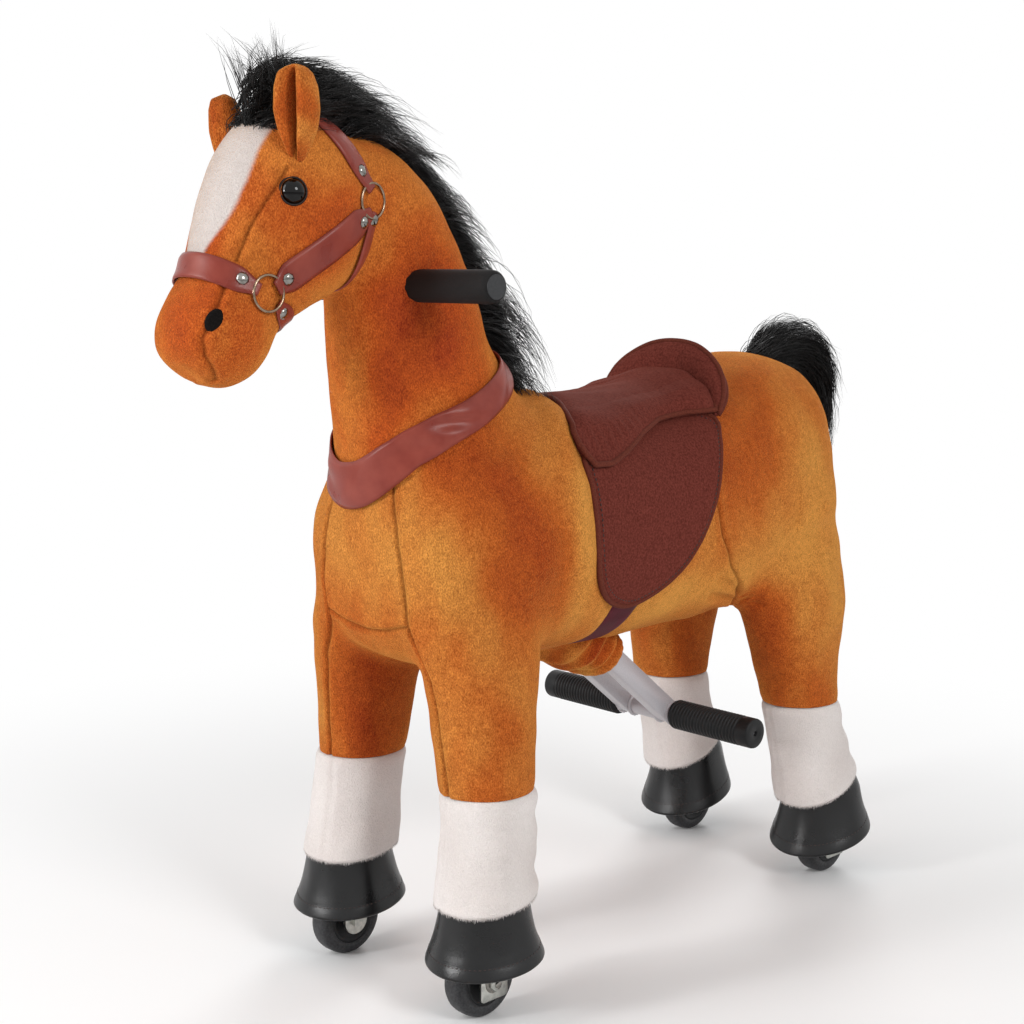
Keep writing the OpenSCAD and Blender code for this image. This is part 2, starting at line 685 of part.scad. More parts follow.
module front_right_leg() { color("sienna") soft() mirrored(-1) leg_plush(front_leg_rows, false); }
module rear_left_leg() { color("sienna") soft() leg_plush(rear_leg_rows, true); }
module rear_right_leg() { color("sienna") soft() mirrored(-1) leg_plush(rear_leg_rows, true); }
module front_left_sock() { color("whitesmoke") soft() leg_sock(front_leg_rows, -front_hoof_y, false); }
module front_right_sock() {
  color("whitesmoke") soft() mirrored(-1) leg_sock(front_leg_rows, -front_hoof_y, false);
}
module rear_left_sock() { color("whitesmoke") soft() leg_sock(rear_leg_rows, rear_hoof_y, true); }
module rear_right_sock() {
  color("whitesmoke") soft() mirrored(-1) leg_sock(rear_leg_rows, rear_hoof_y, true);
}

// Hooves
function hoof_profile(d, drop) = [
  for (s = hoof_shares)
    [s[0] * hoof_r + d, hoof_rim_z + s[1] * hoof_h - drop * (s[1] < hoof_flare ? 1 : 0)]
];
module hoof_outside(d) {
  outline = hoof_profile(d, 0);
  top = outline[0] + [0, d];
  rotate_extrude() polygon([[0, top[1]], top, each outline, [0, hoof_rim_z]]);
}
module hoof(side, y, drop) {
  outline = hoof_profile(0, drop);
  in_frame() color("black") translate([side * half_track, y, 0]) rotate_extrude($fn = 64)
    polygon([each outline, for (i = [len(outline) - 1 : -1 : 0]) outline[i] - [hoof_t, 0]]);
}
module front_left_hoof() { hoof(1, -front_hoof_y, 0); }
module front_right_hoof() { hoof(-1, -front_hoof_y, 0); }
module rear_left_hoof() { hoof(1, rear_hoof_y, rear_hoof_drop); }
module rear_right_hoof() { hoof(-1, rear_hoof_y, rear_hoof_drop); }

// Saddle, collar and girth: layers over the body, trimmed to outlines in the side view.
// The outlines are shares of the saddle's length and height, from its front lower corner.
seat_shares = [
  [-0.045, 0.56], [-0.01, 0.72], [0.06, 0.97], [0.8, 0.97], [0.78, 0.68], [0.62, 0.655], [0.42, 0.635],
  [0.24, 0.59], [0.08, 0.54], [-0.01, 0.525]
];
cantle_shares = [
  [0.715, 0.7], [0.765, 0.82], [0.8, 0.92], [0.86, 0.975], [0.93, 0.97], [0.98, 0.91], [0.965, 0.82],
  [0.88, 0.725], [0.8, 0.67]
];
flap_shares = [
  [-0.02, 0.62], [0.71, 0.72], [0.7, 0.5], [0.65, 0.36], [0.56, 0.22], [0.45, 0.1], [0.34, 0.02],
  [0.23, 0], [0.14, 0.04], [0.06, 0.17], [0.01, 0.36]
];
saddle_front_share = 0.4;
saddle_low_share = 0.178;
function saddle_outline(shares) = [
  for (s = shares)
    [(s[0] - saddle_front_share) * saddle_l, belly_z + saddle_low_share * barrel_h + s[1] * saddle_h]
];
module saddle_layer(shares, t, lift) {
  intersection() {
    difference() {
      translate([0, 0, lift]) barrel(t);
      barrel(soft_fit);
    }
    side_plate(saddle_outline(shares), -far, far);
  }
}
module clear_of(shares) {
  difference() {
    children();
    side_plate(saddle_outline(shares), -far, far);
  }
}
module saddle_seat() {
  color("saddlebrown") soft() difference() {
    clear_of(cantle_shares) saddle_layer(seat_shares, flap_t, seat_t - flap_t);
    translate([0, 0, -soft_fit]) below_saddle();
  }
}
// The room below the seat's lowest edge, where it would run round under the belly
module below_saddle() {
  block(-far, far, -far, far, -far, belly_z + barrel_h / 2);
}
module saddle_cantle() {
  color("maroon") soft() saddle_layer(cantle_shares, cantle_side_t, cantle_t - cantle_side_t);
}
module flap(side) {
  color("saddlebrown") soft() clear_of(cantle_shares) clear_of(seat_shares) intersection() {
    saddle_layer(flap_shares, flap_t, 0);
    mirrored(side) block(overrun, far, -far, far, 0, far);
  }
}
module saddle_flap_left() { flap(1); }
module saddle_flap_right() { flap(-1); }
girth_y = 0.25 * saddle_l;
girth_z = belly_z + 0.2 * barrel_h;
girth_slant = 27;
module girth_strap() {
  color("maroon") soft() clear_of(flap_shares) intersection() {
    difference() {
      barrel(strap_t);
      barrel(soft_fit);
    }
    turned(-girth_y, girth_z, -girth_slant)
      block(-far, far, -girth_y - girth_w / 2, -girth_y + girth_w / 2, 0, girth_z + girth_w);
  }
}
collar_reach = 12 / 42 * collar_w;
module neck_collar() {
  color("maroon") soft() difference() {
    intersection() {
      body_form(strap_t + soft_fit);
      neck_form(collar_reach);
    }
    body_form(soft_fit);
    above_collar(-slide_gap);
    below_collar(collar_w);
  }
}

// Frame, plush and wheels of the rear half
module rear_leg_tube(d) {
  foot = [half_track, rear_hoof_y, foot_disc_z + foot_disc_t / 2];
  rod([rear_cross_x, rear_cross_y, rear_cross_z], foot, tube_r + d);
}
rear_plate_shares = [
  [-0.085, 0.08], [-0.1, 0.62], [0, 1.25], [0.09, 0.62], [0.14, 0.4], [0.98, 1], [1.02, 0.7],
  [0.98, 0.4], [0.12, -0.24], [0, -0.36], [-0.07, -0.22]
];
module rear_plate(d) {
  side_plate([
    for (s = rear_plate_shares)
      [hinge_y + s[0] * (rear_cross_y - hinge_y), hinge_z + s[1] * crank_l]
  ], plate_x - d, plate_x + plate_t + d);
  across(hinge_y, hinge_z, plate_x - d, plate_x + plate_t + d, boss_r);
}
module rear_steel(d) {
  both_sides() {
    rear_leg_tube(d);
    translate([half_track, rear_hoof_y, foot_disc_z]) cylinder(h = foot_disc_t, r = foot_disc_r + d);
    rear_plate(d);
    across(hinge_y, hinge_z + crank_l, plate_x, link_x + link_t + overrun, pin_r);
  }
  across(rear_cross_y, rear_cross_z, -rear_cross_x, rear_cross_x, 0.85 * tube_r + d);
}
module rear_frame() {
  in_frame() color("dimgray") difference() {
    rear_steel(0);
    across(hinge_y, hinge_z, -far, far, hinge_r + run_fit);
  }
}
module rump_cover() {
  color("sienna") soft() difference() {
    intersection() {
      barrel(0);
      behind_flank(0);
    }
    rear_steel(soft_fit);
  }
}
module fork_plates() {
  for (s = [-1, 1])
    translate([s * (fork_gap + fork_t) / 2 - fork_t / 2, 0, 0]) rotate([90, 0, 90])
      linear_extrude(height = fork_t) difference() {
        union() {
          translate([-fork_l / 2, wheel_r]) square([fork_l, fork_top - wheel_r]);
          translate([0, wheel_r]) circle(r = fork_l / 2);
        }
        translate([0, wheel_r]) circle(r = axle_r + run_fit);
      }
  translate([-fork_gap / 2 - fork_t, -fork_l / 2, fork_top]) cube([fork_gap + 2 * fork_t, fork_l, fork_t]);
}
module axle() {
  reach = fork_gap / 2 + fork_t;
  across(0, wheel_r, -reach - nut_h / 2, reach + nut_h, axle_r);
  hex_across(0, wheel_r, reach, reach + nut_h, nut_r);
  hex_across(0, wheel_r, -reach - nut_h, -reach, nut_r);
}
module rear_forks() {
  in_frame() color("silver") both_sides() {
    translate([half_track, rear_wheel_y, 0]) {
      fork_plates();
      translate([0, rear_rake, fork_top + fork_t / 2])
        cylinder(h = foot_disc_z - fork_top - fork_t / 2, r = tube_r);
    }
  }
}
module rear_axles() {
  in_frame() color("gray") both_sides() translate([half_track, rear_wheel_y, 0]) axle();
}
module tail() {
  color("black") soft() difference() {
    form(tail_rows, trim_sides);
    barrel(soft_fit);
  }
}

// Steering: column, handlebar, neck and head
module column_crank() {
  translate(on_axis(crank_w)) rotate([steer_lean, 0, 0]) translate([0, 0, crank_up]) {
    translate([-column_r / 2, 0, 0]) cube([column_r, arm_l, crank_t]);
    translate([0, arm_l, 0]) cylinder(h = crank_t, r = column_r / 2);
  }
  translate([0, crank_pin[1], tie_z - tie_t]) cylinder(h = tie_t + crank_up + crank_t / 2, r = pin_r);
}
module steering_column() {
  in_frame() color("dimgray") difference() {
    union() {
      along_axis() translate([0, 0, column_low])
        cylinder(h = column_top_share * handle_up - column_low, r = column_r);
      column_crank();
    }
    translate(on_axis(handle_up)) rotate([0, 90, 0])
      cylinder(h = far, r = handlebar_r + run_fit, center = true);
  }
}
grip_end_r = grip_r / 3;
module handlebar() {
  in_frame() color("dimgray") translate(on_axis(handle_up)) rotate([0, 90, 0])
    cylinder(h = 2 * (grip_in + grip_l), r = handlebar_r, center = true);
}
sunk_grip_r = grip_r - slide_gap;
sunk_grip_l = grip_in - head_w / 4;
module grip_outside(d) {
  translate(on_axis(handle_up)) rotate([0, 90, 0]) {
    translate([0, 0, grip_in - sunk_grip_l]) cylinder(h = sunk_grip_l, r = sunk_grip_r + d);
    translate([0, 0, grip_in]) cylinder(h = grip_l, r = grip_r + d);
  }
}
module handle_grip(side) {
  in_frame() color("black") mirrored(side) difference() {
    union() {
      grip_outside(0);
      translate(on_axis(handle_up) + [grip_in + grip_l, 0, 0]) rotate([0, 90, 0])
        cylinder(h = grip_end_r, r1 = grip_r, r2 = grip_r - grip_end_r);
    }
    translate(on_axis(handle_up)) rotate([0, 90, 0])
      cylinder(h = grip_in + grip_l + slide_gap, r = handlebar_r + run_fit);
  }
}
module left_handle_grip() { handle_grip(1); }
module right_handle_grip() { handle_grip(-1); }
module neck_cover() {
  color("sienna") soft() difference() {
    neck_form(0);
    below_collar(-slide_gap);
    along_axis() translate([0, 0, -far / 2])
      cylinder(h = far / 2 + column_top_share * handle_up + soft_fit, r = column_r + soft_fit);
    translate(on_axis(handle_up)) rotate([0, 90, 0])
      cylinder(h = far, r = handlebar_r + soft_fit, center = true);
    both_sides() grip_outside(soft_fit);
  }
}
eye_s_share = 0.11;
eye_e_share = 0.205;
eye_s = eye_s_share * head_l;
eye_e = eye_e_share * head_d;
eye_sunk = eye_r / 4;
eye_shares = [
  [0, 0.6], [0.42, 0.54], [0.75, 0.36], [0.93, 0.12], [1, -0.1], [1, -0.25], [0.35, -0.25], [0.35, -0.8],
  [0, -0.8]
];
module eye_place() {
  translate(head_spot(eye_s, eye_e)) aim(head_out(eye_s, eye_e)) children();
}
module eye_room() {
  eye_place() {
    translate([0, 0, -eye_sunk - soft_fit]) cylinder(h = 2 * eye_r, r = eye_r + soft_fit);
    translate([0, 0, -eye_r]) cylinder(h = eye_r, r = 0.35 * eye_r + soft_fit);
  }
}
module head_cover() {
  color("sienna") soft() difference() {
    head_form(0);
    neck_form(soft_fit);
    both_sides() eye_room();
  }
}
module eyes() {
  in_frame() color("black") both_sides() eye_place()
    rotate_extrude() polygon([for (s = eye_shares) s * eye_r]);
}
// The groove down an ear: its x as a share of the head, then y, z and radius as shares of the ear
cleft_shares = [0.47, -0.29, 0.2, 0.14];
module ear() {
  difference() {
    form(ear_rows, trim_sides);
    head_form(soft_fit);
    neck_form(soft_fit);
    translate(ear_base + [cleft_shares[0] * head_w, cleft_shares[1] * ear_h, cleft_shares[2] * ear_h])
      cylinder(h = ear_h, r = cleft_shares[3] * ear_h);
  }
}
module ears() { color("sienna") soft() both_sides() ear(); }
module mane() {
  color("black") soft() difference() {
    form(mane_rows, trim_sides);
    neck_form(soft_fit);
    head_form(soft_fit);
    headstall_form(strap_t + soft_fit);
    below_collar(-2 * slide_gap);
  }
}

// Halter: straps over the head, trimmed to bands in its side view
nose = [0.428 * head_l, 0.3 * head_d];
chin = [0.395 * head_l, -0.34 * head_d];
mouth = [0.407 * head_l, 0.019 * head_d];
cheek = [-0.084 * head_l, -0.25 * head_d];
lowered = [0, halter_w / 3];
crown = [-0.25 * head_l, 0.085 * head_d];
throat = [0.137 * head_l, -0.56 * head_d];
module head_and_neck(d) {
  head_form(d);
  neck_form(d);
}
module noseband() {
  color("maroon") soft() difference() {
    intersection() {
      head_form(strap_t);
      head_band(nose, chin, halter_w, far, far);
    }
    head_form(soft_fit);
  }
}
module cheek_straps() {
  color("maroon") soft() difference() {
    intersection() {
      head_form(strap_t);
      head_band(mouth - lowered, cheek - lowered, halter_w, -halter_w / 2 - ring_r / 2, -halter_w / 3);
    }
    head_and_neck(soft_fit);
    headstall_form(strap_t + soft_fit);
    head_band(nose, chin, halter_w + 2 * soft_fit, far, far);
  }
}
module headstall_form(d) {
  intersection() {
    head_and_neck(d);
    head_band(crown, throat, halter_w, far, far);
  }
}
module headstall() {
  color("maroon") soft() difference() {
    headstall_form(strap_t);
    head_and_neck(soft_fit);
    cylinder(h = throat_low_z, r = far);
  }
}
throat_low_z = head_z - 0.62 * head_d;
// Places of rings and rivets, with the height by which the neck's plush lifts them
cheek_lift = 0.43 * ring_r;
ring_spots = [[mouth, 0], [cheek, cheek_lift]];
rivet_spots = [
  [[0.405 * head_l, 0.14 * head_d], 0], [[0.33 * head_l, -0.06 * head_d], 0],
  [[0.02 * head_l, -0.225 * head_d], 0], [[-0.15 * head_l, -0.1 * head_d], 0.5 * cheek_lift]
];
module on_strap(p, up) {
  out = head_out(p[0], p[1]);
  translate(head_spot(p[0], p[1]) + (strap_t + up) * out) aim(out) children();
}
module halter_rings() {
  in_frame() color("silver") both_sides()
    for (p = ring_spots)
      on_strap(p[0], ring_wire_r + slide_gap + p[1])
        rotate_extrude() translate([ring_r, 0]) circle(r = ring_wire_r, $fn = 24);
}
module halter_rivets() {
  in_frame() color("silver") both_sides()
    for (p = rivet_spots)
      on_strap(p[0], soft_fit + p[1]) cylinder(h = rivet_r / 2, r1 = rivet_r, r2 = rivet_r * 0.6, $fn = 24);
}

// Front forks and the plate that ties them to the column
module front_fork(side) {
  in_frame() color("silver") mirrored(side) {
    translate([half_track, -front_wheel_y, 0]) fork_plates();
    translate([stem_x, -front_wheel_y - fork_l / 2, fork_top]) cube([half_track - stem_x, fork_l, fork_t]);
    translate([stem_x, -stem_y, fork_top]) {
      cylinder(h = fork_t, r = fork_l / 2);
      cylinder(h = foot_disc_z - slide_gap / 2 - fork_top, r = tube_r);
      cylinder(h = arm_z + tie_t - fork_top, r = stem_r);
    }
    translate([stem_x, -stem_y, arm_z]) {
      cylinder(h = tie_t, r = 1.4 * stem_r);
      translate([-stem_r, 0, 0]) cube([2 * stem_r, arm_l, tie_t]);
      translate([0, arm_l, 0]) cylinder(h = tie_t, r = stem_r);
      translate([0, arm_l, 0]) cylinder(h = 3 * tie_t, r = pin_r);
    }
  }
}
module front_left_fork() { front_fork(1); }
module front_right_fork() { front_fork(-1); }
module front_axle(side) {
  in_frame() color("gray") mirrored(side) translate([half_track, -front_wheel_y, 0]) axle();
}
module front_left_axle() { front_axle(1); }
module front_right_axle() { front_axle(-1); }
module tie_plate() {
  pin_y = -stem_y + arm_l;
  in_frame() color("gray") translate([0, 0, tie_z - tie_t / 2]) difference() {
    union() {
      for (s = [-1, 1])
        translate([s * stem_x, pin_y, 0]) cylinder(h = tie_t, r = stem_r);
      translate([0, crank_pin[1], 0]) cylinder(h = tie_t, r = pin_r + float_fit + stem_r);
      linear_extrude(height = tie_t) polygon([
        [-stem_x, pin_y - stem_r], [stem_x, pin_y - stem_r], [stem_x, pin_y + stem_r],
        [stem_r, crank_pin[1] + stem_r], [-stem_r, crank_pin[1] + stem_r], [-stem_x, pin_y + stem_r]
      ]);
    }
    for (s = [-1, 1])
      translate([s * stem_x, pin_y, -overrun]) cylinder(h = tie_t + 2 * overrun, r = pin_r + run_fit);
    translate([0, crank_pin[1], -overrun]) cylinder(h = tie_t + 2 * overrun, r = pin_r + float_fit);
  }
}

// Pedals: lever, foot bar, grips, sleeve and links
module lever_side() {
  difference() {
    union() {
      translate([plate_x, -pedal_y, hinge_z]) rotate([-lever_slant, 0, 0])
        translate([0, lever_start_share * lever_len, -lever_h / 2])
          cube([lever_w, (1 - lever_start_share) * lever_len, lever_h]);
      translate([plate_x, -pedal_y, hinge_z]) rotate([-lever_slant, 0, 0])
        translate([0, 0, -boss_r]) cube([plate_t, 2 * lever_start_share * lever_len, 2 * boss_r]);
      across(-pedal_y, hinge_z, plate_x, plate_x + plate_t, boss_r);
      translate([plate_x, -pedal_y - boss_r / 2, hinge_z]) cube([plate_t, boss_r, crank_l]);
      across(-pedal_y, hinge_z + crank_l, plate_x, plate_x + plate_t, boss_r / 2);
      across(-pedal_y, hinge_z + crank_l, plate_x, link_x + link_t + overrun, pin_r);
    }
    across(-pedal_y, hinge_z, -far, far, pedal_bolt_r + run_fit);
  }
}
module pedal_lever() {
  in_frame() color("silver") {
    both_sides() lever_side();
    across(foot_bar_y, foot_bar_z, -foot_bar_end, foot_bar_end, foot_bar_r);
  }
}
rib_pitch = foot_grip_l / 22;
rib_depth_share = 0.08;
module foot_grip() {
  translate([grip_start, foot_bar_y, foot_bar_z]) rotate([0, 90, 0]) rotate_extrude() polygon([
    [foot_bar_r + run_fit, 0],
    for (i = [0 : 20])
      for (s = [[1, 0.1], [1, 0.6], [1 - rib_depth_share, 0.7], [1 - rib_depth_share, 1]])
        [foot_grip_r * s[0], (i + s[1]) * rib_pitch],
    [foot_grip_r, foot_grip_l - rib_pitch * 0.8],
    [foot_grip_r, foot_grip_l - rib_pitch * 0.3],
    [foot_grip_r * 0.9, foot_grip_l],
    [grip_hole_r, foot_grip_l],
    [grip_hole_r, foot_grip_l - plate_t / 2 + slide_gap],
    [foot_bar_r + run_fit, foot_grip_l - plate_t / 2 + slide_gap]
  ]);
}
module foot_grips() {
  in_frame() color("black") both_sides() foot_grip();
}
// The sleeve's rows hold the place along the lever and a share of its half sizes
sleeve_shares = [[0, 1], [0.2, 1.1], [0.36, 1], [0.55, 1.1], [0.7, 0.99], [0.88, 1.05], [1, 0.96]];
sleeve_start = 0.2 * lever_len;
sleeve_half_w = plate_x + lever_w + 5 * overrun;
sleeve_half_d = lever_h * 0.78;
sleeve_rows = [
  for (s = sleeve_shares)
    let (d = sleeve_start + s[0] * sleeve_l)
      [
        0, -pedal_y + d * cos(lever_slant), hinge_z - d * sin(lever_slant), lever_slant - 180,
        s[1] * sleeve_half_w, s[1] * sleeve_half_d, s[1] * sleeve_half_d, 3
      ]
];
module pedal_sleeve() {
  color("sienna") soft() difference() {
    form(sleeve_rows, leg_sides);
    for (a = [0, swing / 2, swing])
      turned(-pedal_y, hinge_z, a) barrel(strap_t);
    both_sides()
      translate([plate_x, -pedal_y, hinge_z]) rotate([-lever_slant, 0, 0])
        translate([-soft_fit, 0, -boss_r - soft_fit])
          cube([lever_w + 2 * soft_fit, 2 * lever_len, 2 * boss_r + 2 * soft_fit]);
  }
}
module drive_links() {
  in_frame() color("gray") both_sides() difference() {
    union() {
      block(link_x, link_x + link_t, -pedal_y, hinge_y,
        hinge_z + crank_l - 1.6 * pin_r, hinge_z + crank_l + 1.6 * pin_r);
      for (y = [-pedal_y, hinge_y])
        across(y, hinge_z + crank_l, link_x, link_x + link_t, pin_r * 2);
    }
    for (y = [-pedal_y, hinge_y])
      across(y, hinge_z + crank_l, link_x - overrun, link_x + link_t + overrun, pin_r + run_fit);
  }
}

// Wheels
module tyre(side, y) {
  edge = tyre_w / 8;
  in_frame() color("darkslategray") translate([side * half_track, y, wheel_r]) rotate([0, 90, 0])
    rotate_extrude($fn = 64) polygon([
      [hub_r, -tyre_w / 2], [wheel_r - edge, -tyre_w / 2], [wheel_r - edge / 4, -tyre_w / 2 + edge],
      [wheel_r, -edge], [wheel_r, edge], [wheel_r - edge / 4, tyre_w / 2 - edge],
      [wheel_r - edge, tyre_w / 2], [hub_r, tyre_w / 2]
    ]);
}
module hub(side, y) {
  in_frame() color("black") translate([side * half_track, y, wheel_r]) rotate([0, 90, 0]) difference() {
    union() {
      cylinder(h = tyre_w, r = hub_r, center = true);
      cylinder(h = hub_w, r = 2 * axle_r, center = true);
    }
    cylinder(h = far, r = axle_r + run_fit, center = true);
  }
}
module front_left_tyre() { tyre(1, -front_wheel_y); }
module front_left_hub() { hub(1, -front_wheel_y); }
module front_right_tyre() { tyre(-1, -front_wheel_y); }
module front_right_hub() { hub(-1, -front_wheel_y); }
module rear_left_tyre() { tyre(1, rear_wheel_y); }
module rear_left_hub() { hub(1, rear_wheel_y); }
module rear_right_tyre() { tyre(-1, rear_wheel_y); }
module rear_right_hub() { hub(-1, rear_wheel_y); }

front_frame();
seat_board();
seat_bolts();
hinge_bush();
pivot_bolts();
torso_cover();
front_left_leg();
front_right_leg();
front_left_sock();
front_right_sock();
front_left_hoof();
front_right_hoof();
saddle_seat();
saddle_cantle();
saddle_flap_left();
saddle_flap_right();
girth_strap();
neck_collar();
rear_frame();
rump_cover();
rear_left_leg();
rear_right_leg();
rear_left_sock();
rear_right_sock();
rear_left_hoof();
rear_right_hoof();
rear_forks();
rear_axles();
tail();
steering_column();
handlebar();
left_handle_grip();
right_handle_grip();
neck_cover();
head_cover();
ears();
eyes();
mane();
noseband();
cheek_straps();
headstall();
halter_rings();
halter_rivets();
front_left_fork();
front_left_axle();
front_right_fork();
front_right_axle();
tie_plate();
pedal_lever();
foot_grips();
pedal_sleeve();
drive_links();
front_left_tyre();
front_left_hub();
front_right_tyre();
front_right_hub();
rear_left_tyre();
rear_left_hub();
rear_right_tyre();
rear_right_hub();
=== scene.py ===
# %% [markdown]
# # A plush ride-on horse, dressed over its steel frame
# The CAD model gives the frame, the wheels and a coarse solid for every stuffed part.
# This lesson sews the plush, the saddle, the halter and the hair over it, in the same frame and in metres.

# %% Load the frame and keep its box
import json
import math

import bmesh
import bpy
import numpy as np
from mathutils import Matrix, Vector
from mathutils.bvhtree import BVHTree


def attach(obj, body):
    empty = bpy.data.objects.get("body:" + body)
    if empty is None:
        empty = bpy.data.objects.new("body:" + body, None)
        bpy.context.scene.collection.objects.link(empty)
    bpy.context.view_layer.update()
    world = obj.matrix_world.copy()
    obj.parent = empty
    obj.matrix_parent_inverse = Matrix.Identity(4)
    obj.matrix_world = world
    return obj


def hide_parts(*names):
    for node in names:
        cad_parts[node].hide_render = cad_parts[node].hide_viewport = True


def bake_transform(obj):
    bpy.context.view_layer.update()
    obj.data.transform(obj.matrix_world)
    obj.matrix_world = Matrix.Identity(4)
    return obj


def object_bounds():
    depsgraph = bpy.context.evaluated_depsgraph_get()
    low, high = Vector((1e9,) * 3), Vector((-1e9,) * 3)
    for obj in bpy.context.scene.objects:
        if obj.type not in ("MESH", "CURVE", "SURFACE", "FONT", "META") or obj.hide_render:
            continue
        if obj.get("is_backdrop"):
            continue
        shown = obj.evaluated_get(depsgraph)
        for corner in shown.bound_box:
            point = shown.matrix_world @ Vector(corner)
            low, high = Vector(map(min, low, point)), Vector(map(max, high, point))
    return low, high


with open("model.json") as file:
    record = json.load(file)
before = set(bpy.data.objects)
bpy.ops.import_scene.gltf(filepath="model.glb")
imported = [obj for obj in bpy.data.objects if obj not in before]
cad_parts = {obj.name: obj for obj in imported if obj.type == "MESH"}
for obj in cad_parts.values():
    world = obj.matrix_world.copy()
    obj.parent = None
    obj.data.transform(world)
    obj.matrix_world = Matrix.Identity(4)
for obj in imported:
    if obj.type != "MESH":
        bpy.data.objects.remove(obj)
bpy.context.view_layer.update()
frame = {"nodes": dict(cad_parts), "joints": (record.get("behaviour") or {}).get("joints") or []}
nodes = frame["nodes"]
joints = {j["name"]: j for j in frame["joints"]}

# %% [markdown]
# ## Where things are
# All sizes below are in millimetres, measured from the middle of the wheels, as the maker of the pattern would.
# One function moves points into the CAD frame, which lies further back, and turns them into metres.

# %% Sizes and places
HINGE_Y = 70.0
SHIFT = joints["rear_swing"]["pos_m"][1] * 1000 - HINGE_Y
TRACK = 206.0
FRONT_HOOF_Y, REAR_HOOF_Y = -258.0, 286.0
HOOF_R, WHEEL_R = 57.5, 37.5
SOCK_TOP = {"front": 219.0, "rear": 215.0}
LEG_FORM_H, LEG_W = 430.0, 90.0
CHEST_Y, BELLY_Z = -322.0, 317.0
BARREL_L, BARREL_W, BARREL_H = 649.0, 248.0, 295.0
BARREL_MID_Z, FLANK_Y = 440.0, 125.0
NECK_Y, NECK_Z, NECK_W, NECK_H = -233.0, 548.0, 172.0, 252.0
HEAD_Y, HEAD_Z, HEAD_PITCH = -390.0, 772.0, math.radians(51.6)
HEAD_L, HEAD_W, HEAD_D = 263.0, 122.0, 160.0
LEAN = math.radians(18)
STEER_FOOT = np.array([0.0, -252.0, 566.0])
AXIS_UP = np.array([0.0, -math.sin(LEAN), math.cos(LEAN)])
COLLAR_LEAN = math.radians(30)
COLLAR_UP = np.array([0.0, -math.sin(COLLAR_LEAN), math.cos(COLLAR_LEAN)])
COLLAR_BACK = np.array([0.0, math.cos(COLLAR_LEAN), math.sin(COLLAR_LEAN)])
SKEW_UP = COLLAR_UP - 0.05 * COLLAR_BACK - np.array([0.05, 0, 0])
HANDLE_UP = 134.0
PEDAL_Y, PEDAL_Z, LEVER_BACK, LEVER_DOWN = -83.0, 360.0, 178.0, 145.0
SLOPE = np.array([0.0, -math.cos(HEAD_PITCH), -math.sin(HEAD_PITCH)])
BROW = np.array([0.0, -math.sin(HEAD_PITCH), math.cos(HEAD_PITCH)])
HEAD_MID = np.array([0.0, HEAD_Y, HEAD_Z])
SIDES = {"left": 1, "right": -1}


def to_frame(points):
    """Millimetres from the wheels' middle to metres in the CAD frame."""
    return (np.asarray(points, float) + [0, SHIFT, 0]) / 1000


def from_frame(points):
    """Metres in the CAD frame back to millimetres."""
    return np.asarray(points, float) * 1000 - [0, SHIFT, 0]


print("frame shift", round(SHIFT, 3), "mm")

# %% [markdown]
# ## Small tools
# Some arithmetic comes back in almost every piece: a soft bump, even angles round a circle, arrows of length one,
# and the way walked along a line of points. Each is written once here and used by name from then on.


# %% Small tools
def bell(distance, width):
    """One at no distance, nearly nothing at twice the width."""
    return np.exp(-((distance / width) ** 2))


def angles(count):
    """Even angles round a full turn."""
    return 2 * math.pi * np.arange(count) / count


def unit(vectors):
    """A vector, or each row of vectors, at length one."""
    vectors = np.asarray(vectors, float)
    return vectors / np.linalg.norm(vectors, axis=-1)[..., None]


def squarer(wave, power):
    """A sine or cosine made squarer by a power below one, with its sign kept."""
    return np.sign(wave) * np.abs(wave) ** power


def between(a, b, c, d, t):
    """A place between b and c on a smooth curve through four points."""
    return b + t / 2 * ((c - a) + t * ((2 * a - 5 * b + 4 * c - d) + t * (3 * (b - c) + d - a)))


def walked(line):
    """How far along a line each of its points lies."""
    return np.concatenate([[0], np.cumsum(np.linalg.norm(np.diff(line, axis=0), axis=1))])


def spots_along(line, at):
    """The places at some distances along a line."""
    way = walked(line)
    return np.stack([np.interp(at, way, line[:, k]) for k in range(line.shape[1])], 1)


# %% [markdown]
# ## Colours and nodes
# Colours are written as sRGB hex values, as a dye chart gives them, and turned to linear light once.
# One helper adds a shader or geometry node with its settings and its links.


# %% Colour and node helpers
def linear(hex_colour):
    """sRGB hex to linear RGBA."""
    values = [int(hex_colour[i : i + 2], 16) / 255 for i in (0, 2, 4)]
    return [v / 12.92 if v <= 0.04045 else ((v + 0.055) / 1.055) ** 2.4 for v in values] + [1.0]


def add(tree, kind, inputs=None, **settings):
    """A new node: settings are its properties, inputs are values or sockets by name or index."""
    made = tree.nodes.new(kind)
    for key, value in settings.items():
        setattr(made, key, value)
    for key, value in (inputs or {}).items():
        if isinstance(value, bpy.types.NodeSocket):
            tree.links.new(value, made.inputs[key])
        else:
            made.inputs[key].default_value = value
    return made


def start_material(name, **sockets):
    """A Principled material with the sockets given, and its Object coordinates."""
    material = bpy.data.materials.new(name)
    material.use_nodes = True
    tree = material.node_tree
    shader = tree.nodes["Principled BSDF"]
    for key, value in sockets.items():
        shader.inputs[key.replace("_", " ")].default_value = value
    coords = add(tree, "ShaderNodeTexCoord").outputs["Object"]
    return material, tree, shader, coords


def ramp(tree, factor, stops):
    """Colours by factor: stops are (place, hex)."""
    made = add(tree, "ShaderNodeValToRGB", {"Fac": factor})
    elements = made.color_ramp.elements
    while len(elements) < len(stops):
        elements.new(0.5)
    for element, (place, colour) in zip(elements, stops):
        element.position, element.color = place, linear(colour)
    return made.outputs["Color"]


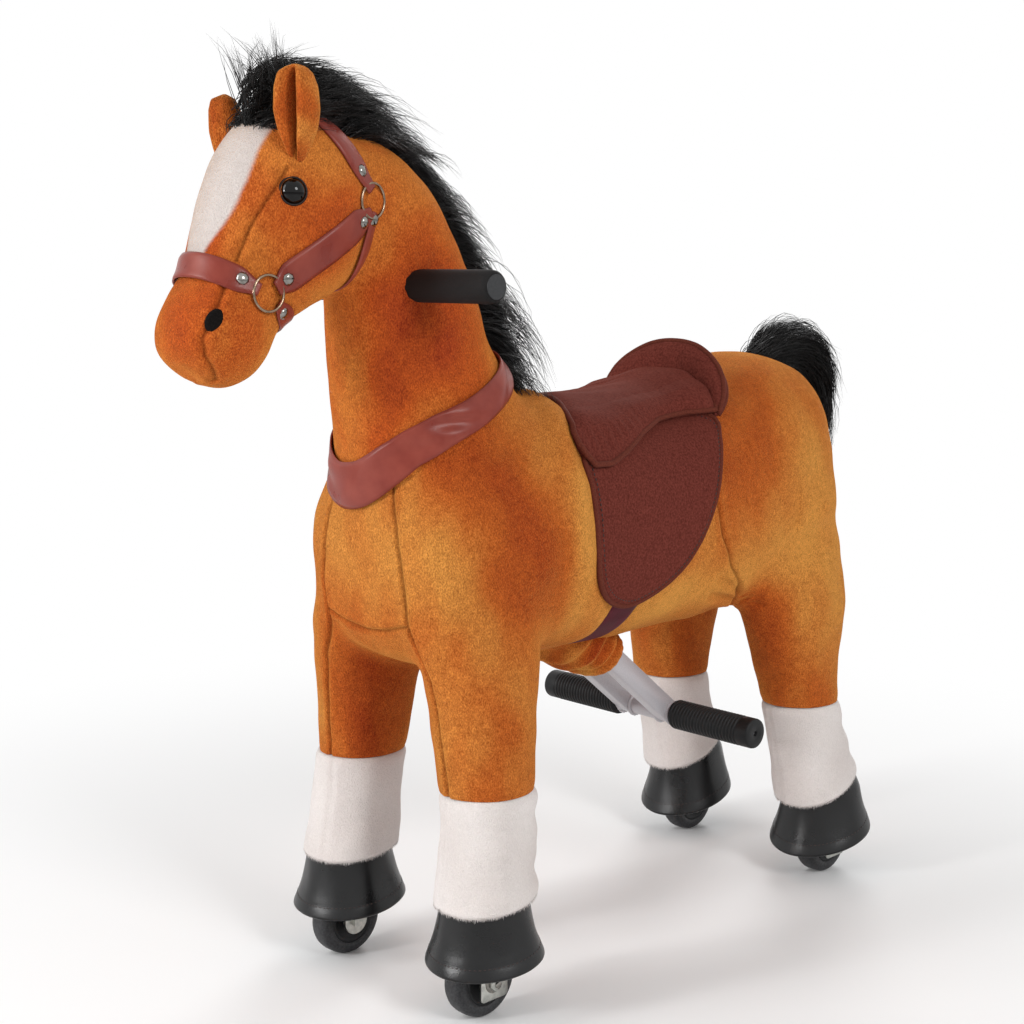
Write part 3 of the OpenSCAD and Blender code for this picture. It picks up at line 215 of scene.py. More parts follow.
# %% [markdown]
# ## Plush
# The cover is short-pile polyester plush, knitted and brushed so that the pile lies one way.
# Seen along the pile it is red brown; seen across it, and round the edges of a form, it shines golden: that is sheen.
# Where a hand has stroked it the other way there are golden patches as wide as a palm. These patches are painted into
# the colour, and some are painted light and shade: golden on the chest, belly and hips and down the neck's front edge,
# redder on the neck's side and inside the legs. Along sewn seams the colour is darkened as painted shade.
# The pile is drawn as grains about 1 mm wide and 2 mm long, with tufts of about 7 mm between them.


# %% Plush materials
PILE_ACROSS, PILE_ALONG, TUFT = 0.0011, 0.0018, 0.007


def times(tree, a, b):
    """A colour multiplied by another or by a shade."""
    mixed = add(tree, "ShaderNodeMix", {"Factor": 1.0, "A": a, "B": b}, data_type="RGBA", blend_type="MULTIPLY")
    return mixed.outputs["Result"]


def plush(name, stops, sheen, tint, contrast, blaze=None):
    """Plush coloured by a painted attribute, from pile lying away to pile brushed towards the eye, with painted light
    and shade mixed in; a second attribute darkens the seams as painted shade.
    """
    material, tree, shader, coords = start_material(
        name, Roughness=0.9, Sheen_Weight=sheen, Sheen_Roughness=0.35, Sheen_Tint=linear(tint), IOR=1.46
    )
    shader.inputs["Specular IOR Level"].default_value = 0.1
    scale = (1 / PILE_ACROSS, 1 / PILE_ACROSS, 1 / PILE_ALONG)
    strokes = add(tree, "ShaderNodeMapping", {"Vector": coords, "Scale": scale})
    pile = add(tree, "ShaderNodeTexNoise", {"Vector": strokes.outputs["Vector"], "Scale": 1.0, "Detail": 2.0})
    tufts = add(tree, "ShaderNodeTexNoise", {"Vector": coords, "Scale": 1 / TUFT, "Detail": 3.0})
    grain = add(tree, "ShaderNodeMix", {"Factor": 0.25, "A": pile.outputs["Fac"], "B": tufts.outputs["Fac"]})
    # The pile's lie, with the strokes' painted light and shade added to it, picks the colour.
    nap = add(tree, "ShaderNodeAttribute", attribute_name="nap")
    ruffled = add(tree, "ShaderNodeMapRange", {"Value": grain.outputs[0], 1: 0.3, 2: 0.7, 3: -0.12, 4: 0.12})
    lie = add(tree, "ShaderNodeMath", {0: nap.outputs["Fac"], 1: ruffled.outputs["Result"]}, operation="ADD")
    base = ramp(tree, lie.outputs[0], stops)
    shade = add(
        tree, "ShaderNodeMapRange", {"Value": grain.outputs[0], 1: 0.32, 2: 0.68, 3: 1 - contrast, 4: 1 + contrast}
    )
    # Painted shade: along sewn seams the plush is darkened to 0.58 of its colour, as if shade lay in the valley.
    seam = add(tree, "ShaderNodeAttribute", attribute_name="seam")
    sunk = add(tree, "ShaderNodeMapRange", {"Value": seam.outputs["Fac"], 3: 1.0, 4: 0.58})
    out = times(tree, times(tree, base, shade.outputs["Result"]), sunk.outputs["Result"])
    if blaze:
        mask = add(tree, "ShaderNodeAttribute", attribute_name="blaze")
        white = ramp(tree, grain.outputs[0], [(0.3, blaze[0]), (0.7, blaze[1])])
        out = add(
            tree, "ShaderNodeMix", {"Factor": mask.outputs["Fac"], "A": out, "B": white}, data_type="RGBA"
        ).outputs["Result"]
    tree.links.new(out, shader.inputs["Base Color"])
    bump = add(tree, "ShaderNodeBump", {"Height": grain.outputs[0], "Strength": 0.9, "Distance": 0.002})
    tree.links.new(bump.outputs["Normal"], shader.inputs["Normal"])
    return material


BROWN_STOPS = [(0.05, "963815"), (0.42, "B45A22"), (0.88, "CC8A40")]
FACE_STOPS = [(0.05, "98351A"), (0.42, "B6531F"), (0.88, "CF8439")]
WHITE_STOPS = [(0.0, "D9CFCB"), (0.5, "E2DAD6"), (1.0, "E9E2DF")]
BLAZE = ("C6BBB6", "DAD1CC")
BROWN_PLUSH = plush("brown_plush", BROWN_STOPS, sheen=0.9, tint="F0B058", contrast=0.36)
FACE_PLUSH = plush("face_plush", FACE_STOPS, sheen=0.85, tint="F0A850", contrast=0.34, blaze=BLAZE)
WHITE_PLUSH = plush("white_plush", WHITE_STOPS, sheen=0.15, tint="FFFFFF", contrast=0.05)

# %% [markdown]
# ## The other finishes
# Hooves, halter and collar are imitation leather: a soft PVC skin with a fine embossed grain and a satin gloss.
# The saddle is suede cloth, matt with a brushed nap. Hair is polyester fibre with a silky gloss.
# Foam and rubber grips are matt and pitted; steel is painted, zinc plated or nickel plated.


# %% Leather, suede, hair, rubber and metal
def leather(name, colour, worn, roughness, grain_mm, level):
    """Embossed imitation leather, a little lighter and duller where it is worn."""
    material, tree, shader, coords = start_material(name, Roughness=roughness, IOR=1.5, Specular_IOR_Level=level)
    grain = add(
        tree, "ShaderNodeTexVoronoi", {"Vector": coords, "Scale": 1000 / grain_mm, "Randomness": 1.0},
        feature="DISTANCE_TO_EDGE",
    )
    soft = add(tree, "ShaderNodeTexNoise", {"Vector": coords, "Scale": 1 / 0.03, "Detail": 3.0})
    tree.links.new(
        ramp(tree, soft.outputs["Fac"], [(0.35, colour), (0.75, worn)]), shader.inputs["Base Color"]
    )
    gloss = add(
        tree, "ShaderNodeMapRange",
        {"Value": soft.outputs["Fac"], 1: 0.3, 2: 0.7, 3: roughness - 0.06, 4: roughness + 0.1},
    )
    tree.links.new(gloss.outputs["Result"], shader.inputs["Roughness"])
    edge = add(tree, "ShaderNodeMapRange", {"Value": grain.outputs["Distance"], 1: 0.0, 2: 0.25, 3: 0.0, 4: 1.0})
    bump = add(tree, "ShaderNodeBump", {"Height": edge.outputs["Result"], "Strength": 0.14, "Distance": 0.0003})
    tree.links.new(bump.outputs["Normal"], shader.inputs["Normal"])
    return material


def mottled(name, dark, light, size_mm, bump_mm, stretch=(1, 1, 1), **sockets):
    """A finish whose colour and bump follow one noise of a real size."""
    material, tree, shader, coords = start_material(name, **sockets)
    scale = tuple(1000 / size_mm * s for s in stretch)
    place = add(tree, "ShaderNodeMapping", {"Vector": coords, "Scale": scale})
    spots = add(tree, "ShaderNodeTexNoise", {"Vector": place.outputs["Vector"], "Scale": 1.0, "Detail": 4.0})
    tree.links.new(ramp(tree, spots.outputs["Fac"], [(0.3, dark), (0.7, light)]), shader.inputs["Base Color"])
    bump = add(tree, "ShaderNodeBump", {"Height": spots.outputs["Fac"], "Strength": 0.5, "Distance": bump_mm / 1000})
    tree.links.new(bump.outputs["Normal"], shader.inputs["Normal"])
    return material


GRAIN_MM = 1.6
HOOF_LEATHER = leather("black_imitation_leather", "040405", "0D0D0F", 0.3, GRAIN_MM, level=0.4)
STRAP_LEATHER = leather("brown_imitation_leather", "7C3026", "934538", 0.3, GRAIN_MM, level=0.25)
GIRTH_LEATHER = leather("plum_imitation_leather", "4A1720", "5E2530", 0.5, GRAIN_MM, level=0.1)
SUEDE = mottled(
    "brown_suede", "54241D", "74382F", 2.2, 0.7, Roughness=0.95, Sheen_Weight=0.14, Sheen_Roughness=0.5,
    Sheen_Tint=linear("A0604C"), IOR=1.45, Specular_IOR_Level=0.08,
)
PIPING_CLOTH = mottled("piping_cloth", "522319", "6C3325", 1.5, 0.25, Roughness=0.9, IOR=1.48, Specular_IOR_Level=0.2)
THREAD = mottled("dark_thread", "1A1110", "33211D", 0.8, 0.1, Roughness=0.6, IOR=1.5)
HAIR = mottled(
    "black_hair_fibre", "050404", "15110F", 9.0, 0.1, Roughness=0.28, IOR=1.55, Specular_IOR_Level=0.26, Anisotropic=0.4
)
EYE_GLOSS = mottled(
    "glossy_black_plastic", "020101", "060404", 20.0, 0.0, Roughness=0.03, IOR=1.49, Specular_IOR_Level=0.3
)
EYE_RING = mottled("dark_brown_plastic", "140A06", "22120B", 4.0, 0.05, Roughness=0.4, IOR=1.49, Specular_IOR_Level=0.2)
NOSTRIL_FELT = mottled("black_felt", "0A0909", "1B1817", 1.2, 0.3, Roughness=0.95, IOR=1.45, Specular_IOR_Level=0.1)
FOAM = mottled("black_foam", "100F0F", "1C1A1A", 1.1, 0.25, Roughness=0.75, IOR=1.5, Specular_IOR_Level=0.2)
GRIP_RUBBER = mottled("black_rubber", "0D0D0E", "19191A", 1.4, 0.12, Roughness=0.5, IOR=1.52, Specular_IOR_Level=0.25)
TYRE_RUBBER = mottled(
    "grey_tyre_rubber", "1E1E20", "3C3C3E", 2.2, 0.15, Roughness=0.5, IOR=1.52, Specular_IOR_Level=0.3
)
HUB_NYLON = mottled("black_nylon", "101011", "1C1C1E", 3.0, 0.08, Roughness=0.5, IOR=1.53, Specular_IOR_Level=0.25)
ZINC = mottled("zinc_plate", "A2A39E", "C4C4BE", 5.0, 0.04, Metallic=1.0, Roughness=0.34)
NICKEL = mottled("nickel_plate", "78756F", "9C9994", 6.0, 0.01, Metallic=1.0, Roughness=0.16)
RING_WIRE = mottled("bronzed_wire", "806C5A", "A38D78", 6.0, 0.01, Metallic=1.0, Roughness=0.2)
SILVER_PAINT = mottled("silver_grey_paint", "B2AFB3", "C4C1C5", 1.2, 0.04, Metallic=0.1, Roughness=0.4, IOR=1.5)
FRAME_PAINT = mottled("black_frame_paint", "1E1F21", "2A2B2D", 2.5, 0.06, Roughness=0.45, IOR=1.5)
PLYWOOD = mottled("plywood", "A08050", "C4A272", 2.0, 0.1, (1, 0.06, 1), Roughness=0.6, IOR=1.5)
NYLON = mottled("plain_nylon", "B9AA7E", "CDBE92", 4.0, 0.05, Roughness=0.5, IOR=1.53)
print("materials", len(bpy.data.materials))

# %% [markdown]
# ## Steel, plywood and nylon that the CAD already shapes well
# A CAD node whose shape is right keeps its mesh and only gets its finish. Frame tubes are painted black, forks, links
# and bolts are zinc plated, the board is plywood and the hinge's bush is nylon.

# %% Finishes of the carried-over nodes
def refinish(obj, material):
    """One finish in place of those an object has."""
    obj.data.materials.clear()
    obj.data.materials.append(material)


CARRIED = {
    FRAME_PAINT: ["front_frame", "rear_frame", "steering_column", "handlebar"],
    PLYWOOD: ["seat_board"],
    NYLON: ["hinge_bush"],
    ZINC: [
        "seat_bolts", "pivot_bolts", "rear_forks", "rear_axles", "front_left_fork", "front_left_axle",
        "front_right_fork", "front_right_axle", "tie_plate", "drive_links",
    ],
}
for finish, names in CARRIED.items():
    for name in names:
        refinish(nodes[name], finish)
print("carried over", sum(len(names) for names in CARRIED.values()), "nodes")

# %% [markdown]
# ## Stuffed forms
# A stuffed part is drawn as rings along its middle line: each row gives the ring's middle, the tilt of its depth,
# its half width, two half depths and how square it is, as shares of the form's own sizes.
# Rows between them follow a smooth curve, so the forms are as fine as needed.

# %% Ring tables
BARREL = [
    [0, 1, 0.556, 90, 0.202, 0.2, 0.122, 2.4], [0, 0.974, 0.521, 90, 0.355, 0.364, 0.223, 2.4],
    [0, 0.924, 0.485, 90, 0.456, 0.488, 0.299, 2.4], [0, 0.858, 0.454, 90, 0.5, 0.546, 0.335, 2.4],
    [0, 0.781, 0.417, 90, 0.504, 0.556, 0.346, 2.4], [0, 0.681, 0.417, 90, 0.492, 0.481, 0.38, 2.4],
    [0, 0.565, 0.417, 90, 0.484, 0.424, 0.407, 2.4], [0, 0.435, 0.417, 90, 0.488, 0.434, 0.417, 2.4],
    [0, 0.304, 0.417, 90, 0.496, 0.481, 0.407, 2.4], [0, 0.188, 0.417, 90, 0.5, 0.478, 0.39, 2.4],
    [0, 0.102, 0.417, 90, 0.476, 0.437, 0.366, 2.4], [0, 0.039, 0.417, 90, 0.415, 0.353, 0.319, 2.4],
    [0, 0.009, 0.417, 90, 0.315, 0.237, 0.237, 2.3], [0, 0, 0.417, 90, 0.177, 0.129, 0.129, 2.2],
]
NECK = [
    [0, 0.044, -0.31, 20, 0.547, 0.605, 0.593, 2.2], [0, 0, 0, 21, 0.5, 0.558, 0.57, 2.1],
    [0, -0.083, 0.266, 19, 0.43, 0.465, 0.494, 2.1], [0, -0.147, 0.544, 18, 0.378, 0.407, 0.436, 2.1],
    [0, -0.23, 0.77, 26, 0.349, 0.337, 0.372, 2.1], [0, -0.353, 0.929, 42, 0.314, 0.267, 0.326, 2.1],
    [0, -0.472, 1, 60, 0.244, 0.209, 0.256, 2.1],
]
FRONT_LEG = [
    [0.5, 0, 0.221, 0, 0.544, 0.556, 0.556, 2.1], [0.488, 0.016, 0.349, 0, 0.484, 0.505, 0.505, 2.1],
    [0.468, 0.034, 0.488, 0, 0.47, 0.49, 0.49, 2.1], [0.44, 0.042, 0.64, 0, 0.484, 0.53, 0.53, 2.1],
    [0.404, 0.05, 0.767, 0, 0.5, 0.64, 0.64, 2.1], [0.338, 0.06, 0.907, 0, 0.53, 0.81, 0.81, 2.1],
    [0.311, 0.07, 1, 0, 0.46, 0.78, 0.78, 2.1],
]
REAR_LEG = [
    [0.5, -0.014, 0.221, 0, 0.525, 0.53, 0.53, 2.1], [0.49, -0.044, 0.349, 0, 0.467, 0.495, 0.495, 2.1],
    [0.476, -0.086, 0.488, 0, 0.456, 0.505, 0.505, 2.1], [0.461, -0.1, 0.628, 0, 0.495, 0.63, 0.63, 2.1],
    [0.432, -0.106, 0.767, 0, 0.53, 0.82, 0.82, 2.1], [0.375, -0.108, 0.907, 0, 0.53, 0.91, 0.91, 2.1],
    [0.335, -0.108, 1.023, 0, 0.46, 0.83, 0.83, 2.1],
]
HEAD = [
    [-0.266, 0.164, 0.113, 0.138], [-0.221, 0.328, 0.269, 0.287], [-0.129, 0.459, 0.438, 0.425],
    [0, 0.5, 0.5, 0.531], [0.152, 0.475, 0.46, 0.508], [0.281, 0.41, 0.388, 0.4],
    [0.39, 0.377, 0.33, 0.312], [0.452, 0.377, 0.288, 0.305], [0.528, 0.398, 0.282, 0.335],
    [0.614, 0.372, 0.258, 0.316], [0.686, 0.282, 0.18, 0.248], [0.721, 0.14, 0.078, 0.14],
]


# %% Rows to millimetres, and smooth rows between them
def form_rows(table, base, size, width=None):
    """A table of shares as rows in millimetres; width is the form's own where size[0] is a track."""
    t = np.array(table, float)
    rows = np.zeros((len(t), 8))
    rows[:, :3] = np.array(base) + t[:, :3] * size[:3]
    rows[:, 3] = t[:, 3]
    rows[:, 4] = t[:, 4] * (width or size[0])
    rows[:, 5:7] = t[:, 5:7] * size[3]
    rows[:, 7] = t[:, 7]
    return rows


def finer(rows, steps):
    """Rows on a smooth curve through the given ones, steps to a span."""
    padded = np.vstack([rows[:1], rows, rows[-1:]])
    out = []
    for i in range(1, len(padded) - 2):
        a, b, c, d = padded[i - 1 : i + 3]
        for k in range(steps):
            out.append(between(a, b, c, d, k / steps))
    out.append(rows[-1])
    return np.array(out)


def ring(row, sides):
    """The points of one row's ring."""
    a = angles(sides)
    c, s = np.cos(a), np.sin(a)
    power = 2 / row[7]
    u = row[4] * squarer(c, power)
    v = np.where(s > 0, row[5], row[6]) * squarer(s, power)
    tilt = math.radians(row[3])
    return np.stack([row[0] + u, row[1] + v * math.cos(tilt), row[2] + v * math.sin(tilt)], 1)


def grid_faces(rows, sides, closed=True):
    """Quads of a grid of rows by sides, closed round each row or not."""
    i, j = np.meshgrid(np.arange(rows - 1), np.arange(sides if closed else sides - 1), indexing="ij")
    k = (j + 1) % sides
    return np.stack([i * sides + j, i * sides + k, (i + 1) * sides + k, (i + 1) * sides + j], -1).reshape(-1, 4)


# %% Faces and objects
def close_ends(points, faces, sides):
    """A face over the first ring and one over the last."""
    faces.append(list(range(sides)))
    faces.append(list(range(len(points) - sides, len(points)))[::-1])
    return points, faces


def make(name, points, faces, material, outward=True):
    """An object from millimetre points. Faces are turned outwards where the shell is closed."""
    mesh = bpy.data.meshes.new(name)
    mesh.from_pydata(to_frame(points).tolist(), [], [list(map(int, f)) for f in faces])
    mesh.update()
    made = bpy.data.objects.new(name, mesh)
    bpy.context.scene.collection.objects.link(made)
    mesh.materials.append(material)
    mesh.shade_smooth()
    if outward:
        recalculate(mesh)
    return made


def recalculate(mesh):
    """Turns a mesh's faces outwards."""
    work = bmesh.new()
    work.from_mesh(mesh)
    bmesh.ops.recalc_face_normals(work, faces=work.faces)
    work.to_mesh(mesh)
    work.free()


def loft(rows, sides):
    """Points and faces of a closed form over rows."""
    points = np.vstack([ring(r, sides) for r in rows])
    return close_ends(points, grid_faces(len(rows), sides).tolist(), sides)


# %% Rows of the body's forms
BARREL_ROWS = form_rows(BARREL, [0, CHEST_Y, BELLY_Z], [BARREL_W, BARREL_L, BARREL_H, BARREL_H])
NECK_ROWS = form_rows(NECK, [0, NECK_Y, NECK_Z], [NECK_W, NECK_H, NECK_H, NECK_W])
FRONT_LEG_ROWS = form_rows(FRONT_LEG, [0, FRONT_HOOF_Y, 0], [TRACK, LEG_FORM_H, LEG_FORM_H, LEG_W], LEG_W)
# The front legs are fuller in front between the sock and the chest.
fuller = 4.5 * np.interp(FRONT_LEG_ROWS[:, 2], [150, 215, 260, 400, 440], [0, 0.5, 1, 1, 0])
FRONT_LEG_ROWS[:, 1] -= fuller
FRONT_LEG_ROWS[:, 5:7] += fuller[:, None]
REAR_LEG_ROWS = form_rows(REAR_LEG, [0, REAR_HOOF_Y, 0], [TRACK, LEG_FORM_H, LEG_FORM_H, LEG_W], LEG_W)
head_table = np.array(HEAD)
HEAD_ROWS = np.zeros((len(HEAD), 8))
HEAD_ROWS[:, :3] = HEAD_MID + head_table[:, :1] * HEAD_L * SLOPE
HEAD_ROWS[:, 3] = 90 + math.degrees(HEAD_PITCH)
HEAD_ROWS[:, 4] = head_table[:, 1] * HEAD_W
HEAD_ROWS[:, 5:7] = head_table[:, 2:4] * HEAD_D
HEAD_ROWS[:, 7] = 2.1
print("rows of the forms", [len(t) for t in (BARREL, NECK, FRONT_LEG, REAR_LEG, HEAD)])


# %% [markdown]
# ## One skin from several forms
# On the real toy the legs and neck are sewn into the body and the stuffing rounds every join.
# The forms are merged with a voxel Remesh, and only the joins are smoothed, so the forms keep their sizes.


# %% Points and edges of a mesh
def surface_of(obj):
    """The points of an object's mesh, in metres."""
    points = np.zeros(len(obj.data.vertices) * 3)
    obj.data.vertices.foreach_get("co", points)
    return points.reshape(-1, 3)


def place(obj, points):
    """Moves the points of an object's mesh."""
    obj.data.vertices.foreach_set("co", np.asarray(points, np.float32).ravel())
    obj.data.update()


def edges_of(obj):
    """The pairs of points that an object's edges join."""
    pairs = np.zeros(len(obj.data.edges) * 2, int)
    obj.data.edges.foreach_get("vertices", pairs)
    return pairs.reshape(-1, 2)


def relax(points, pairs, weight, rounds):
    """Laplacian smoothing, stronger where weight is larger."""
    count = np.bincount(pairs.ravel(), minlength=len(points)).clip(1)
    for _ in range(rounds):
        total = np.stack(
            [
                np.bincount(pairs[:, 0], points[pairs[:, 1], k], len(points))
                + np.bincount(pairs[:, 1], points[pairs[:, 0], k], len(points))
                for k in range(3)
            ],
            1,
        )
        points = points + (0.5 * weight)[:, None] * (total / count[:, None] - points)
    return points


def settle(obj):
    """The object's modifiers turned into its mesh."""
    graph = bpy.context.evaluated_depsgraph_get()
    mesh = bpy.data.meshes.new_from_object(obj.evaluated_get(graph))
    old = obj.data
    obj.modifiers.clear()
    obj.data = mesh
    mesh.name = obj.name
    bpy.data.meshes.remove(old)
    mesh.shade_smooth()
    return obj


# %% One skin over closed forms
def tree_of(points, faces):
    """A search tree over millimetre points, for rays and nearest places."""
    return BVHTree.FromPolygons(to_frame(points).tolist(), [list(map(int, f)) for f in faces])


def skin(name, forms, voxel, width, rounds, material):
    """One remeshed skin over closed forms (points, faces), its joins smoothed over width millimetres."""
    points, faces, trees = [], [], []
    for p, f in forms:
        start = sum(len(q) for q in points)
        points.append(p)
        faces += [[i + start for i in face] for face in f]
        trees.append(tree_of(p, f))
    made = make(name, np.vstack(points), faces, material)
    remesh = made.modifiers.new("merge", "REMESH")
    remesh.mode, remesh.voxel_size = "VOXEL", voxel / 1000
    refinish(settle(made), material)
    co = surface_of(made)
    near = np.zeros(len(co))
    for tree in trees:
        gap = np.array([(tree.find_nearest(Vector(p), 4 * width / 1000)[3] or 1.0) for p in co]) * 1000
        near += bell(gap, width)
    pairs = edges_of(made)
    co = relax(co, pairs, np.clip(near - 1.02, 0, 1), rounds)
    co = relax(co, pairs, np.full(len(co), 0.6), 4)
    place(made, co)
    return made


def mirrored(form):
    """The same form on the other side."""
    points, faces = form
    return points * [-1, 1, 1], [list(f)[::-1] for f in faces]


# %% Body skin
front_leg = loft(finer(FRONT_LEG_ROWS, 6), 48)
rear_leg = loft(finer(REAR_LEG_ROWS, 6), 48)
body = skin(
    "body_plush",
    [
        loft(finer(BARREL_ROWS, 6), 72), loft(finer(NECK_ROWS[:3], 8), 64), front_leg, mirrored(front_leg),
        rear_leg, mirrored(rear_leg),
    ],
    voxel=3.4, width=16.0, rounds=95, material=BROWN_PLUSH,
)
print("body skin", len(body.data.vertices))


# %% [markdown]
# ## Cutting the skin
# The body's skin ends at the socks and at the collar. Everything beyond those planes is deleted.


# %% Cut a skin with planes
def cut(obj, spot, normal):
    """Deletes what lies on the normal's side of a plane, given in millimetres."""
    work = bmesh.new()
    work.from_mesh(obj.data)
    bmesh.ops.bisect_plane(
        work, geom=work.verts[:] + work.edges[:] + work.faces[:], plane_co=to_frame(spot).tolist(),
        plane_no=[float(v) for v in normal], clear_outer=True,
    )
    work.to_mesh(obj.data)
    work.free()
    obj.data.update()


def sock_top(y):
    """Height of the socks' upper edge, which falls a little towards the rear."""
    return np.interp(y, [FRONT_HOOF_Y, REAR_HOOF_Y], [SOCK_TOP["front"], SOCK_TOP["rear"]])


fall = (SOCK_TOP["rear"] - SOCK_TOP["front"]) / (REAR_HOOF_Y - FRONT_HOOF_Y)
cut(body, [0, FRONT_HOOF_Y, SOCK_TOP["front"]], [0, fall, -1])
cut(body, STEER_FOOT + 2 * COLLAR_UP, SKEW_UP)
print("cut skin", len(body.data.vertices))

# %% [markdown]
# ## Seams, folds and soft dents
# Plush panels are sewn from the inside, so a seam is a narrow valley. Each seam is a line of points in the side
# view or front view; skin points near it sink a few millimetres, and the plush along it is darkened as painted
# shade. Broad noise adds the lumps of hand stuffing.


# %% Places, distances and noise on a skin
def normals_of(obj):
    """The outward normals of an object's points."""
    normals = np.zeros(len(obj.data.vertices) * 3, np.float32)
    obj.data.vertex_normals.foreach_get("vector", normals)
    return normals.reshape(-1, 3).astype(float)


def millimetres(obj):
    """The points of an object's mesh, in millimetres."""
    return from_frame(surface_of(obj))


def distance_to_line(points, line):
    """Distance of points to a polyline, both in the same plane or space."""
    line = np.asarray(line, float)
    best = np.full(len(points), 1e9)
    for a, b in zip(line[:-1], line[1:]):
        ab = b - a
        t = np.clip(((points - a) @ ab) / (ab @ ab), 0, 1)
        best = np.minimum(best, np.linalg.norm(points - (a + t[:, None] * ab), axis=1))
    return best


def valley(distance, depth, width):
    """A sewn valley, with the plush swelling a little beside it."""
    return -depth * bell(distance, width) + 0.3 * depth * bell(distance - 2.4 * width, 1.6 * width)


def waves(points, size, seed):
    """Smooth repeatable noise from a few sines of about the given size."""
    rng = np.random.default_rng(seed)
    total = np.zeros(len(points))
    for _ in range(9):
        direction = rng.normal(size=3)
        direction *= 2 * math.pi / (size * rng.uniform(0.7, 1.5)) / np.linalg.norm(direction)
        total += np.sin(points @ direction + rng.uniform(0, 2 * math.pi))
    return total / 3


# %% Painting, splitting and pushing a skin
def paint(obj, key, values):
    """Numbers kept on a mesh's points for its material."""
    layer = obj.data.attributes.new(key, "FLOAT", "POINT")
    layer.data.foreach_set("value", np.asarray(values, np.float32))


def refine(obj, gap, reach, rounds):
    """Splits the faces near a seam, so that the seam can be as narrow as a sewn one."""
    for _ in range(rounds):
        near = gap(millimetres(obj), normals_of(obj)) < reach
        work = bmesh.new()
        work.from_mesh(obj.data)
        edges = [q for q in work.edges if near[q.verts[0].index] and near[q.verts[1].index]]
        bmesh.ops.subdivide_edges(work, edges=edges, cuts=1, use_grid_fill=True)
        work.to_mesh(obj.data)
        work.free()
    obj.data.shade_smooth()


def nap_and_painted_light_of(points, strokes, seed):
    """How the pile lies, nought stroked flat and one brushed up towards the light, with the strokes' painted light and
    shade added.
    """
    broad = np.tanh(2.2 * waves(points * [1, 1, 0.7], 130, seed))
    fine = np.tanh(2 * waves(points, 48, seed + 1))
    lie = 0.47 + 0.12 * broad + 0.06 * fine
    one_side = np.abs(points * [1, 0, 0]) + points * [0, 1, 1]
    for middle, reach, amount in strokes:
        off = (((one_side - middle) / reach) ** 2).sum(1)
        lie += amount * np.exp(-(off**1.4))
    return np.clip(lie, 0, 1)


def push(obj, amount):
    """Moves skin points along their normals, in millimetres."""
    place(obj, surface_of(obj) + normals_of(obj) * amount[:, None] / 1000)


# %% Seams and folds of the body
# Sewn seams of the left half, in the front view (x, z) and in the side view (y, z); the right half mirrors them.
FRONT_SEAMS = [
    [[36, 548], [42, 502], [50, 476], [55, 449], [60, 416], [60, 380]], [[0, 369], [30, 371], [60, 380]],
    [[60, 380], [62, 367], [69, 349], [78, 330], [84, 293], [90, 240], [93, 200]],
]
SIDE_SEAMS = [
    [[67, 545], [66, 499], [65, 470], [75, 427], [96, 391], [128, 362], [152, 342]],
    [[152, 342], [158, 320], [170, 277], [186, 200]],
]
# Creases of the loose cloth at the flank and the hip, softer than seams.
FOLDS = [[[149, 351], [80, 381]], [[160, 345], [78, 362]], [[165, 338], [95, 340]]]
WRINKLES = [[[174, 426], [203, 432], [239, 443]], [[218, 318], [258, 321]]]
# A distance that counts as no seam at all.
FAR = 200


def nearest(flat_, lines):
    """Distance to the nearest of some lines in a view."""
    return np.min([distance_to_line(flat_, line) for line in lines], axis=0)


def side_gap(points, normals, lines):
    """Distance in the side view, on faces that look outwards."""
    inward = normals[:, 0] * np.sign(points[:, 0]) < 0.12
    return nearest(points[:, 1:], lines) + FAR * inward + FAR * (points[:, 1] < 20)


def body_seam(points, normals):
    """Distance to the nearest seam of the body."""
    front_view = np.stack([np.abs(points[:, 0]), points[:, 2]], 1)
    front = nearest(front_view, FRONT_SEAMS) + FAR * (normals[:, 1] > -0.15) + FAR * (points[:, 1] > -200)
    return np.minimum(front, side_gap(points, normals, SIDE_SEAMS))


# %% Sink the seams and add lumps
# Patches of stroked pile, also painted light and shade: lighter on the chest, belly and hips, darker on the
# shoulder's side and inside the legs. Each gives the middle of the patch, its reach and how far the pile stands up
# there, which makes it lighter or darker.
BODY_STROKES_AND_PAINTED_LIGHT = [
    ([0, -322, 455], [62, 80, 88], 0.1), ([78, -295, 425], [42, 60, 75], 0.18), ([80, -255, 520], [60, 60, 42], -0.18),
    ([118, -205, 430], [50, 48, 75], -0.18), ([128, -140, 450], [45, 18, 90], 0.35),
    ([95, -20, 368], [75, 140, 30], 0.45), ([115, 105, 500], [45, 45, 72], -0.14),
    ([110, 250, 450], [60, 70, 85], 0.3), ([128, 175, 392], [42, 62, 38], 0.3),
    ([95, -300, 300], [38, 40, 80], 0.15), ([100, 172, 290], [45, 26, 60], -0.22),
    ([122, 282, 280], [40, 38, 80], 0.15), ([50, -250, 290], [24, 80, 90], -0.25),
    ([135, 230, 330], [34, 48, 60], 0.14), ([120, -265, 250], [40, 60, 50], 0.14),
]
refine(body, lambda q, m: np.minimum(body_seam(q, m), side_gap(q, m, FOLDS)), reach=9.0, rounds=2)
p = millimetres(body)
side = np.abs(p[:, 0])
n = normals_of(body)
sewn = body_seam(p, n)
seams = valley(sewn, 2.6, 2.3)
seams += valley(side_gap(p, n, FOLDS), 2.6, 4.0) + valley(side_gap(p, n, WRINKLES), 1.8, 5.0)
y, z = p[:, 1], p[:, 2]
seams -= 1.0 * bell(z - sock_top(y), 4)
